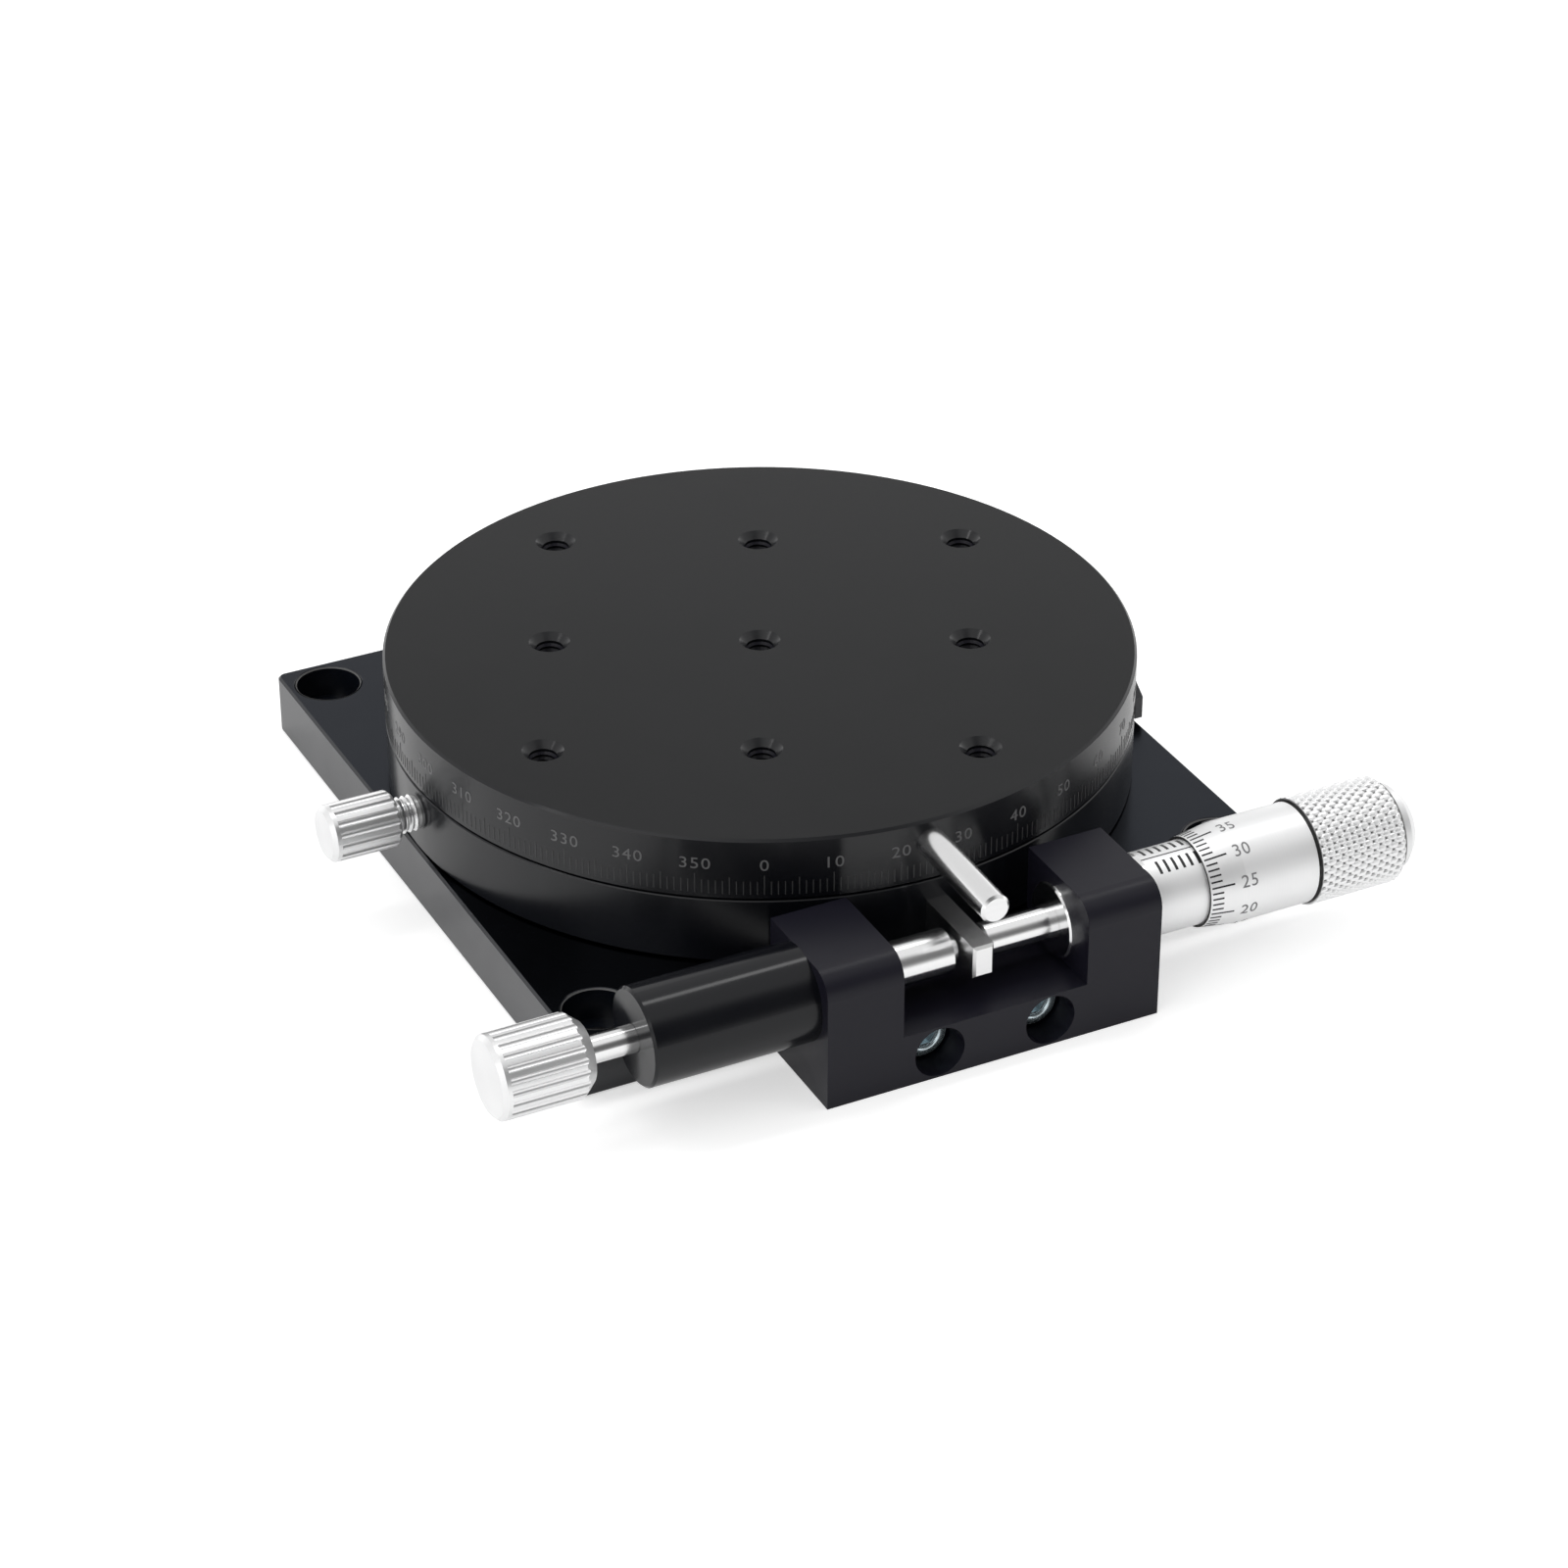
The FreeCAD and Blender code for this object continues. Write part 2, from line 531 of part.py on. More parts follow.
# Cap screws that hold the hub, put in from below.
hub_screws = new_body("hub_screws")
profile = sketch_on(hub_screws, "hub_screw_profile", "XZ_Plane")
outline(profile, [
    ("0", "hub_head_depth - cap_head_high"),
    ("cap_head_wide / 2", "hub_head_depth - cap_head_high"),
    ("cap_head_wide / 2", "hub_head_depth"),
    ("hub_screw_size / 2", "hub_head_depth"),
    ("hub_screw_size / 2", "base_thick + hub_screw_reach - 0.5"),
    ("0", "base_thick + hub_screw_reach - 0.5"),
])
profile.setExpression("AttachmentOffset.Base.x", bound(HUB_CIRCLE))
stem_axis = revolve(hub_screws, profile, "V_Axis")
hub_screws.Placement = FreeCAD.Placement(FreeCAD.Vector(), FreeCAD.Rotation(FreeCAD.Vector(0, 0, 1), 45))
repeat(hub_screws, [stem_axis], "hub_screw_count")


def race(label, near, far, low, high):
    """A bearing race: a chamfered ring with a ball groove in the wall at far."""
    body = turned(label, [(near, low), (far, low), (far, high), (near, high)], "V_Axis")
    groove_sketch = sketch_on(body, label + "_groove", "XZ_Plane")
    circle(groove_sketch, BALL_CIRCLE, RACE_MIDDLE, BALL + " + 2 * ball_running_gap")
    feature = body.newObject("PartDesign::Groove", label + "_groove_cut")
    feature.Profile = groove_sketch
    feature.ReferenceAxis = (groove_sketch, ["V_Axis"])
    feature.Angle = 360
    before = body.Shape.Volume
    doc.recompute()
    if body.Shape.Volume >= before:
        raise RuntimeError(label + " groove removes nothing")
    return body


def seat_edges(body, radius):
    """The two circular edges of a ring on its seat radius."""
    def test(edge):
        if not isinstance(edge.Curve, Part.Circle):
            return False
        return abs(edge.Curve.Radius - radius) < 1e-4
    return edges_that(body, test)


inner_race = race("bearing_inner_race", "race_bore / 2", BALL_CIRCLE + " - " + LAND_GAP + " / 2",
                  RACE_BOTTOM, RACE_TOP)
soften(inner_race, "Chamfer", seat_edges(inner_race, size("race_bore") / 2), "race_edge")
outer_race = race("bearing_outer_race", "race_outside / 2", BALL_CIRCLE + " + " + LAND_GAP + " / 2",
                  RACE_BOTTOM, RACE_TOP)
soften(outer_race, "Chamfer", seat_edges(outer_race, size("race_outside") / 2), "race_edge")

# Balls, and the cage that spaces them.
balls = new_body("bearing_balls")
ball = balls.newObject("PartDesign::AdditiveSphere", "ball")
ball.setExpression("Radius", bound(BALL + " / 2"))
ball.AttachmentSupport = [(origin_part(balls, "XY_Plane"), "")]
ball.MapMode = "FlatFace"
ball.setExpression("AttachmentOffset.Base.x", bound(BALL_CIRCLE))
ball.setExpression("AttachmentOffset.Base.z", bound(RACE_MIDDLE))
doc.recompute()
repeat(balls, [ball], "ball_count")
cage = turned("ball_cage", [
    (BALL_CIRCLE + " - " + CAGE_WALL + " / 2", RACE_MIDDLE + " - " + CAGE_HIGH + " / 2"),
    (BALL_CIRCLE + " + " + CAGE_WALL + " / 2", RACE_MIDDLE + " - " + CAGE_HIGH + " / 2"),
    (BALL_CIRCLE + " + " + CAGE_WALL + " / 2", RACE_MIDDLE + " + " + CAGE_HIGH + " / 2"),
    (BALL_CIRCLE + " - " + CAGE_WALL + " / 2", RACE_MIDDLE + " + " + CAGE_HIGH + " / 2"),
], "V_Axis")
pocket_sketch = sketch_on(cage, "cage_pocket", "YZ_Plane", BALL_CIRCLE + " + " + CAGE_WALL)
circle(pocket_sketch, "0", RACE_MIDDLE, BALL + " + 2 * cage_pocket_gap")
pocket_cut = pocket(cage, pocket_sketch, "2 * " + CAGE_WALL)
repeat(cage, [pocket_cut], "ball_count")

# Plate that clamps the inner race, and its countersunk screws.
cover = turned("race_clamp_plate", [
    ("cover_bore / 2", RACE_TOP),
    (SHOULDER, RACE_TOP),
    (SHOULDER, COVER_TOP),
    ("cover_bore / 2", COVER_TOP),
], "V_Axis")
cover_cone = sketch_on(cover, "cover_cone", "XZ_Plane")
outline(cover_cone, [
    ("0", RACE_TOP),
    ("cover_screw_size / 2 + screw_slack", RACE_TOP),
    ("cover_screw_size / 2 + screw_slack", COVER_TOP + " - cover_head_high"),
    ("cover_head_wide / 2", COVER_TOP),
    ("0", COVER_TOP),
])
cover_cone.setExpression("AttachmentOffset.Base.x", bound("cover_screw_circle / 2"))
cone_cut = cover.newObject("PartDesign::Groove", "cover_cone_cut")
cone_cut.Profile = cover_cone
cone_cut.ReferenceAxis = (cover_cone, ["V_Axis"])
cone_cut.Angle = 360
doc.recompute()
repeat(cover, [cone_cut], "hub_screw_count")


def flat_screws(label, circle_size, count, face, head_wide, head_high, thread, tip, sign, turn):
    """Countersunk screws on a circle. The face is the head's flat, and sign is 1 when
    the head points up."""
    body = new_body(label)
    shape = sketch_on(body, label + "_profile", "XZ_Plane")
    step = " - " if sign > 0 else " + "
    corners = [("0", face), (head_wide + " / 2", face), (thread + " / 2", face + step + head_high),
               (thread + " / 2", tip), ("0", tip)]
    outline(shape, corners)
    shape.setExpression("AttachmentOffset.Base.x", bound(circle_size + " / 2"))
    one = revolve(body, shape, "V_Axis")
    repeat(body, [one], count)
    body.Placement = FreeCAD.Placement(FreeCAD.Vector(), FreeCAD.Rotation(FreeCAD.Vector(0, 0, 1), turn))
    return body


flat_screws("race_clamp_screws", "cover_screw_circle", "hub_screw_count", COVER_TOP,
            "(cover_head_wide - 0.1)", "cover_head_high", "cover_screw_size",
            RACE_TOP + " - race_pinch - cover_screw_reach + 0.3", 1, 0)

# Slip ring that the fine-motion ring slides on.
turned("slip_ring", [
    (SLIP_IN, "base_thick - slip_groove"),
    (SLIP_OUT, "base_thick - slip_groove"),
    (SLIP_OUT, RING_BOTTOM),
    (SLIP_IN, RING_BOTTOM),
], "V_Axis")

# Fine-motion ring, bored for the clamp screw and slotted for the arm.
ring = turned("clamp_ring", [
    (RING_BORE, RING_BOTTOM),
    (DISC + " - ring_break", RING_BOTTOM),
    (DISC, RING_BOTTOM + " + ring_break"),
    (DISC, RING_TOP + " - ring_break"),
    (DISC + " - ring_break", RING_TOP),
    (RING_BORE, RING_TOP),
], "V_Axis")
arm_slot = sketch_on(ring, "arm_slot", "XZ_Plane", DISC + " + 1")
ARM_SECTION = ("0 - arm_wide / 2", "drive_high - arm_high / 2", "arm_wide / 2", "drive_high + arm_high / 2")
rectangle(arm_slot, *ARM_SECTION)
pocket(ring, arm_slot, DISC + " + 1 - " + ARM_ROOT)
dowel_hole = sketch_on(ring, "dowel_hole", "XY_Plane", RING_TOP)
circle(dowel_hole, "0", "0 - " + DOWEL, "dowel_size")
pocket(ring, dowel_hole, "ring_height - dowel_floor")
clamp_hole = sketch_on(ring, "clamp_hole", "YZ_Plane", "0 - " + DISC + " - 1")
circle(clamp_hole, "0", CLAMP_Z, "clamp_thread")
pocket(ring, clamp_hole, DISC + " + 1 - " + SKIRT + " + 2", True)

# Tangent arm, pinned in the ring.
arm = new_body("tangent_arm")
arm_section = sketch_on(arm, "arm_section", "XZ_Plane", ARM_ROOT)
rectangle(arm_section, *ARM_SECTION)
pad(arm, arm_section, "arm_reach - " + ARM_ROOT)


def arm_end(edge):
    box = edge.BoundBox
    return abs(box.YMin + size("arm_reach")) < 1e-4 and abs(box.YMax + size("arm_reach")) < 1e-4


soften(arm, "Chamfer", edges_that(arm, arm_end), "edge_break")
arm_hole = sketch_on(arm, "arm_hole", "XY_Plane", "drive_high + arm_high / 2")
circle(arm_hole, "0", "0 - " + DOWEL, "dowel_size")
pocket(arm, arm_hole, "arm_high")
dowel = turned("arm_dowel", [
    ("0", RING_BOTTOM + " + dowel_floor"),
    ("dowel_size / 2", RING_BOTTOM + " + dowel_floor"),
    ("dowel_size / 2", RING_TOP + " - edge_break"),
    ("0", RING_TOP + " - edge_break"),
], "V_Axis", ("0", "0 - " + DOWEL, "0"))


def flutes(body, name, start, length, radius, count):
    """Cuts straight flutes into a turned knob, along its axis."""
    shape = sketch_on(body, name, "YZ_Plane", start)
    circle(shape, "0", radius + " + flute_size / 6", "flute_size")
    cut = pocket(body, shape, length, True)
    return repeat(body, [cut], count, "X_Axis")


# Clamp screw with its fluted knob, and the brake pad at its tip.
clamp = turned("clamp_screw", [
    (CLAMP_FAR, "0"),
    (CLAMP_FAR, "clamp_knob_size / 2 - knob_break"),
    (CLAMP_FAR + " + knob_break", "clamp_knob_size / 2"),
    (CLAMP_NEAR + " - knob_break", "clamp_knob_size / 2"),
    (CLAMP_NEAR, "clamp_knob_size / 2 - knob_break"),
    (CLAMP_NEAR, "clamp_thread / 2 - thread_gap"),
    (PAD_OUTER, "clamp_thread / 2 - thread_gap"),
    (PAD_OUTER, "0"),
], "H_Axis", ("0", "0", CLAMP_Z))
flutes(clamp, "clamp_flute", CLAMP_FAR + " + 2 * knob_break", "clamp_knob_length - 2 * knob_break + 0.01",
       "clamp_knob_size / 2", "clamp_flutes")
turned("brake_pad", [
    (PAD_OUTER, "0"),
    (PAD_OUTER, "clamp_thread / 2 - thread_gap"),
    (PAD_INNER, "clamp_thread / 2 - thread_gap"),
    (PAD_INNER, "0"),
], "H_Axis", ("0", "0", CLAMP_Z))

# Table: rim, skirt, race seat and recess turned in one piece, with a 3 by 3 grid of
# tapped holes and a radial hole for the turning pin.
table = turned("rotary_table", [
    ("0", RECESS_TOP),
    ("race_outside / 2 - recess_land", RECESS_TOP),
    ("race_outside / 2 - recess_land", RACE_TOP),
    ("race_outside / 2", RACE_TOP),
    ("race_outside / 2", SKIRT_BOTTOM),
    (SKIRT, SKIRT_BOTTOM),
    (SKIRT, TABLE_UNDER),
    (DISC + " - ring_break", TABLE_UNDER),
    (DISC, TABLE_UNDER + " + ring_break"),
    (DISC, TABLE_FACE + " - edge_break"),
    (DISC + " - edge_break", TABLE_FACE),
    ("0", TABLE_FACE),
], "V_Axis")
taps = sketch_on(table, "grid_taps", "XY_Plane", TABLE_FACE)
for column in ("0 - grid_pitch", "0", "grid_pitch"):
    for line in ("0 - grid_pitch", "0", "grid_pitch"):
        circle(taps, column, line, "grid_drill")
pocket(table, taps, TABLE_FACE + " - " + RECESS_TOP + " - grid_floor")


def grid_mouth(edge):
    return (isinstance(edge.Curve, Part.Circle) and abs(edge.Curve.Radius - size("grid_drill") / 2) < 1e-4
            and edge.BoundBox.ZMin > table.Shape.BoundBox.ZMax - 1e-4)


soften(table, "Chamfer", edges_that(table, grid_mouth), "(grid_mouth - grid_drill) / 2")
pin_hole = sketch_on(table, "pin_hole", "XZ_Plane")
pin_hole.AttachmentOffset = FreeCAD.Placement(FreeCAD.Vector(), FreeCAD.Rotation(FreeCAD.Vector(0, 1, 0), 1))
pin_hole.setExpression("AttachmentOffset.Rotation.Angle", bound("pin_mark"))
pin_hole.setExpression("AttachmentOffset.Base.x", bound(DISC + " * sin(pin_mark)"))
pin_hole.setExpression("AttachmentOffset.Base.z", bound(DISC + " * cos(pin_mark)"))
circle(pin_hole, "0", PIN_Z, "pin_thread")
pocket(table, pin_hole, "pin_thread_length + 0.5")
retainer_tap = sketch_on(table, "retainer_tap", "XY_Plane", SKIRT_BOTTOM)
circle(retainer_tap, SKIRT_MIDDLE, "0", "retainer_screw_size")
tap_cut = pocket(table, retainer_tap, "retainer_screw_reach + 0.4", True)
repeat(table, [tap_cut], "retainer_screw_count")

# Retainer under the outer race, and its screws.
retainer = turned("race_retainer", [
    ("race_outside / 2 - retainer_land", SKIRT_BOTTOM + " - retainer_thick"),
    (SKIRT + " - retainer_inset", SKIRT_BOTTOM + " - retainer_thick"),
    (SKIRT + " - retainer_inset", SKIRT_BOTTOM),
    ("race_outside / 2 - 0.05", SKIRT_BOTTOM),
    ("race_outside / 2 - 0.05", RACE_BOTTOM),
    ("race_outside / 2 - retainer_land", RACE_BOTTOM),
], "V_Axis")
retainer_cone = sketch_on(retainer, "retainer_cone", "XZ_Plane")
outline(retainer_cone, [
    ("0", SKIRT_BOTTOM),
    ("retainer_screw_size / 2 + screw_slack", SKIRT_BOTTOM),
    ("retainer_screw_size / 2 + screw_slack", SKIRT_BOTTOM + " - retainer_thick + retainer_head_high"),
    ("retainer_head_wide / 2", SKIRT_BOTTOM + " - retainer_thick"),
    ("0", SKIRT_BOTTOM + " - retainer_thick"),
])
retainer_cone.setExpression("AttachmentOffset.Base.x", bound(SKIRT_MIDDLE))
retainer_cut = retainer.newObject("PartDesign::Groove", "retainer_cone_cut")
retainer_cut.Profile = retainer_cone
retainer_cut.ReferenceAxis = (retainer_cone, ["V_Axis"])
retainer_cut.Angle = 360
doc.recompute()
repeat(retainer, [retainer_cut], "retainer_screw_count")
retainer_screws = flat_screws("retainer_screws", "(2 * " + SKIRT_MIDDLE + ")", "retainer_screw_count",
                              SKIRT_BOTTOM + " - retainer_thick", "(retainer_head_wide - 0.1)",
                              "retainer_head_high", "retainer_screw_size",
                              SKIRT_BOTTOM + " + retainer_screw_reach", -1, 0)

# Turning pin, screwed into the rim.
pin = new_body("turning_pin")
pin_profile = sketch_on(pin, "pin_profile", "XY_Plane")
outline(pin_profile, [
    ("0", "0 - " + DISC + " + pin_thread_length"),
    ("pin_thread / 2", "0 - " + DISC + " + pin_thread_length"),
    ("pin_thread / 2", "0 - " + DISC),
    ("pin_size / 2", "0 - " + DISC),
    ("pin_size / 2", "0 - pin_reach + edge_break"),
    ("pin_size / 2 - edge_break", "0 - pin_reach"),
    ("0", "0 - pin_reach"),
])
revolve(pin, pin_profile, "V_Axis")
pin.setExpression("Placement.Base.z", bound(PIN_Z))

# Bracket: a U block whose two ears hold the micrometer and the spring barrel.
bracket = new_body("micrometer_bracket")
side = sketch_on(bracket, "bracket_side", "YZ_Plane", "0 - " + EAR_OUT)
BACK = "(0 - " + FRONT + ")"
FACE = "(0 - " + FRONT + " - bracket_deep)"
rectangle(side, FACE, "0", BACK, "ear_high")
pad(bracket, side, "bracket_wide")


def upper_front(edge):
    box = edge.BoundBox
    front = -size("base_side") / 2 - size("bracket_deep")
    return abs(box.YMax - front) < 1e-4 and abs(box.ZMin - size("ear_high")) < 1e-4


soften(bracket, "Fillet", edges_that(bracket, upper_front), "ear_round")
gap = sketch_on(bracket, "bracket_gap", "XZ_Plane", "0 - " + FACE + " + 1")
rectangle(gap, "0 - " + EAR_IN, WEB_TOP, EAR_IN, "ear_high + 1")
pocket(bracket, gap, "bracket_deep + 2")
bolt_holes = sketch_on(bracket, "bolt_holes", "XZ_Plane", "0 - " + FACE)
bolt_heads = sketch_on(bracket, "bolt_heads", "XZ_Plane", "0 - " + FACE)
for across in ("bolt_spacing / 2", "0 - bolt_spacing / 2"):
    circle(bolt_holes, across, "bolt_high", "hub_screw_size + 2 * screw_slack")
    circle(bolt_heads, across, "bolt_high", "bolt_head_bore")
pocket(bracket, bolt_holes, "bracket_deep")
pocket(bracket, bolt_heads, "bolt_head_depth")
stem_hole = sketch_on(bracket, "stem_hole", "YZ_Plane", EAR_OUT)
circle(stem_hole, DRIVE_Y, "drive_high", "stem_size + 2 * stem_fit")
pocket(bracket, stem_hole, "ear_thick")
barrel_hole = sketch_on(bracket, "barrel_hole", "YZ_Plane", "0 - " + EAR_OUT)
circle(barrel_hole, DRIVE_Y, "drive_high", "spigot_size")
pocket(bracket, barrel_hole, "spigot_length + spigot_gap", True)
plunger_hole = sketch_on(bracket, "plunger_hole", "YZ_Plane", "0 - " + EAR_OUT)
circle(plunger_hole, DRIVE_Y, "drive_high", "plunger_size + 2 * plunger_gap")
pocket(bracket, plunger_hole, "ear_thick", True)

# The two cap screws that hold the bracket on the base.
bolts = new_body("bracket_screws")
bolt_profile = sketch_on(bolts, "bolt_profile", "XY_Plane")
SEAT = "(" + FACE + " + bolt_head_depth)"
outline(bolt_profile, [
    ("0", SEAT + " - cap_head_high"),
    ("cap_head_wide / 2", SEAT + " - cap_head_high"),
    ("cap_head_wide / 2", SEAT),
    ("hub_screw_size / 2", SEAT),
    ("hub_screw_size / 2", BACK + " + bolt_reach - 0.5"),
    ("0", BACK + " + bolt_reach - 0.5"),
])
bolt_profile.setExpression("AttachmentOffset.Base.x", bound("bolt_spacing / 2"))
bolt_profile.setExpression("AttachmentOffset.Base.z", bound("bolt_high"))
bolt = revolve(bolts, bolt_profile, "V_Axis")
socket = sketch_on(bolts, "bolt_socket", "XZ_Plane", "0 - " + SEAT + " + cap_head_high")
outline(socket, [("bolt_spacing / 2 + cap_socket / sqrt(3) * cos(%d)" % angle,
                  "bolt_high + cap_socket / sqrt(3) * sin(%d)" % angle) for angle in range(0, 360, 60)])
socket_cut = pocket(bolts, socket, "cap_socket_depth")
mirror(bolts, [bolt, socket_cut], "YZ_Plane")

# Spring barrel with its threaded spigot.
on_drive_axis("spring_barrel", [
    (BARREL_LEFT, "rod_size / 2 + rod_gap"),
    (BARREL_LEFT, "barrel_size / 2 - edge_break"),
    (BARREL_LEFT + " + edge_break", "barrel_size / 2"),
    ("0 - " + EAR_OUT, "barrel_size / 2"),
    ("0 - " + EAR_OUT, "spigot_size / 2"),
    ("0 - " + EAR_OUT + " + spigot_length", "spigot_size / 2"),
    ("0 - " + EAR_OUT + " + spigot_length", "barrel_bore / 2"),
    (BARREL_LEFT + " + barrel_wall", "barrel_bore / 2"),
    (BARREL_LEFT + " + barrel_wall", "rod_size / 2 + rod_gap"),
])

# Plunger: a head that slides in the barrel and a round-nosed shank through the ear.
plunger = on_drive_axis("plunger", [
    (HEAD_LEFT, "0"),
    (HEAD_LEFT, "barrel_bore / 2 - plunger_gap"),
    (HEAD_RIGHT, "barrel_bore / 2 - plunger_gap"),
    (HEAD_RIGHT, "plunger_size / 2"),
    ("0 - " + TIP + " - plunger_nose", "plunger_size / 2"),
    ("0 - " + TIP, "plunger_flat / 2"),
    ("0 - " + TIP, "0"),
])
soften(plunger, "Fillet",
       edges_that(plunger, round_edge_at(-size("arm_wide") / 2 - size("tip_gap"), size("plunger_flat") / 2)),
       "plunger_tip")
rod_socket = sketch_on(plunger, "rod_socket", "YZ_Plane", HEAD_LEFT)
circle(rod_socket, "0", "0", "rod_size")
pocket(plunger, rod_socket, "plunger_head", True)

# Return spring between the barrel's end wall and the plunger's head.
spring = new_body("return_spring")
wire = sketch_on(spring, "spring_wire_section", "XZ_Plane")
WIRE_AT = BARREL_LEFT + " + barrel_wall + spring_wire / 2 + tip_gap"
outline(wire, [("%s + spring_wire / 2 * cos(%g)" % (WIRE_AT, angle),
                "spring_mean / 2 + spring_wire / 2 * sin(%g)" % angle) for angle in range(0, 360, 45)])
coil = spring.newObject("PartDesign::AdditiveHelix", "spring_coil")
coil.Profile = wire
coil.ReferenceAxis = (wire, ["H_Axis"])
coil.Mode = "height-turns-angle"
coil.setExpression("Height", bound(HEAD_LEFT + " - " + BARREL_LEFT
                                   + " - barrel_wall - spring_wire - 2 * tip_gap"))
coil.setExpression("Turns", bound("spring_turns"))
doc.recompute()
place(spring, "0", DRIVE_Y, "drive_high")

# Rod and fluted knob that pull the plunger back.
on_drive_axis("plunger_rod", [
    (PULL_RIGHT + " - rod_grip", "0"),
    (PULL_RIGHT + " - rod_grip", "rod_size / 2"),
    (HEAD_RIGHT, "rod_size / 2"),
    (HEAD_RIGHT, "0"),
])
pull = on_drive_axis("pull_knob", [
    (PULL_LEFT, "0"),
    (PULL_LEFT, "pull_knob_size / 2 - knob_break"),
    (PULL_LEFT + " + knob_break", "pull_knob_size / 2"),
    (PULL_RIGHT + " - pull_collar", "pull_knob_size / 2"),
    (PULL_RIGHT, "pull_collar_size / 2"),
    (PULL_RIGHT, "rod_size / 2"),
    (PULL_RIGHT + " - rod_grip", "rod_size / 2"),
    (PULL_RIGHT + " - rod_grip", "0"),
])
flutes(pull, "pull_flute", PULL_LEFT + " + 2 * knob_break",
       "pull_knob_length - 2 * knob_break - pull_collar / 2", "pull_knob_size / 2", "pull_flutes")

# Micrometer, fixed half: stem, lock nut, feed nut and graduated sleeve.
on_drive_axis("micrometer_stem", [
    (EAR_IN + " - stem_end", "spindle_size / 2 + spindle_gap"),
    (EAR_IN + " - stem_end", "stem_size / 2"),
    (EAR_OUT, "stem_size / 2"),
    (EAR_OUT, "sleeve_size / 2"),
    (EAR_OUT + " + stem_flange", "sleeve_size / 2"),
    (EAR_OUT + " + stem_flange", "stem_body / 2"),
    (STEM_RIGHT, "stem_body / 2"),
    (STEM_RIGHT, "feed_nut_size / 2"),
    (STEM_RIGHT + " - feed_nut_length", "feed_nut_size / 2"),
    (STEM_RIGHT + " - feed_nut_length", "screw_size / 2 + thread_gap"),
    (EAR_OUT + " - stem_relief", "screw_size / 2 + thread_gap"),
    (EAR_OUT + " - stem_relief", "spindle_size / 2 + spindle_gap"),
])
on_drive_axis("stem_lock_nut", [
    (EAR_IN + " - stem_end", "stem_size / 2"),
    (EAR_IN + " - stem_end", "lock_nut_size / 2 - nut_break"),
    (EAR_IN + " - stem_end + nut_break", "lock_nut_size / 2"),
    (EAR_IN, "lock_nut_size / 2"),
    (EAR_IN, "stem_size / 2"),
])
on_drive_axis("feed_nut", [
    (STEM_RIGHT + " - feed_nut_length", "screw_size / 2 + thread_gap"),
    (STEM_RIGHT + " - feed_nut_length", "feed_nut_size / 2"),
    (STEM_RIGHT, "feed_nut_size / 2"),
    (STEM_RIGHT, "screw_size / 2 + thread_gap"),
])
on_drive_axis("graduated_sleeve", [
    (EAR_OUT + " + stem_flange", "stem_body / 2"),
    (EAR_OUT + " + stem_flange", "sleeve_size / 2"),
    (EAR_OUT + " + stem_flange + sleeve_length", "sleeve_size / 2"),
    (EAR_OUT + " + stem_flange + sleeve_length", "stem_body / 2"),
])

# Micrometer, moving half: spindle, thimble, grip and end cap.
spindle = on_drive_axis("micrometer_spindle", [
    (TIP, "0"),
    (TIP, "spindle_flat / 2"),
    (TIP + " + spindle_nose", "spindle_size / 2"),
    (SCREW_LEFT, "spindle_size / 2"),
    (SCREW_LEFT, "screw_size / 2"),
    (SCREW_RIGHT, "screw_size / 2"),
    (SCREW_RIGHT, "spindle_tail / 2"),
    (SPINDLE_END, "spindle_tail / 2"),
    (SPINDLE_END, "0"),
])
soften(spindle, "Fillet",
       edges_that(spindle, round_edge_at(size("arm_wide") / 2 + size("tip_gap"), size("spindle_flat") / 2)),
       "spindle_tip")
on_drive_axis("thimble", [
    (THIMBLE_LEFT, THIMBLE_BORE),
    (THIMBLE_LEFT, THIMBLE_BORE + " + lip_wall"),
    (THIMBLE_LEFT + " + bevel_length", "thimble_size / 2"),
    (GRIP_LEFT, "thimble_size / 2"),
    (GRIP_LEFT, GRIP_SEAT),
    (GRIP_RIGHT, GRIP_SEAT),
    (GRIP_RIGHT, "cap_screw / 2"),
    (SPINDLE_END, "cap_screw / 2"),
    (SPINDLE_END, "spindle_tail / 2"),
    (SCREW_RIGHT, "spindle_tail / 2"),
    (SCREW_RIGHT, "screw_size / 2"),
    (THIMBLE_WEB, "screw_size / 2"),
    (THIMBLE_WEB, THIMBLE_BORE),
])
on_drive_axis("thimble_grip", [
    (GRIP_LEFT, GRIP_SEAT),
    (GRIP_LEFT, "grip_size / 2 - edge_break"),
    (GRIP_LEFT + " + edge_break", "grip_size / 2"),
    (GRIP_RIGHT + " - knob_break", "grip_size / 2"),
    (GRIP_RIGHT, "grip_size / 2 - knob_break"),
    (GRIP_RIGHT, GRIP_SEAT),
])
on_drive_axis("end_cap", [
    (CAP_SCREW, "0"),
    (CAP_SCREW, "cap_screw / 2"),
    (GRIP_RIGHT, "cap_screw / 2"),
    (GRIP_RIGHT, "end_cap_size / 2"),
    (GRIP_RIGHT + " + end_cap_length - end_cap_round", "end_cap_size / 2"),
    (GRIP_RIGHT + " + end_cap_length", "end_cap_size / 2 - end_cap_round"),
    (GRIP_RIGHT + " + end_cap_length", "0"),
])

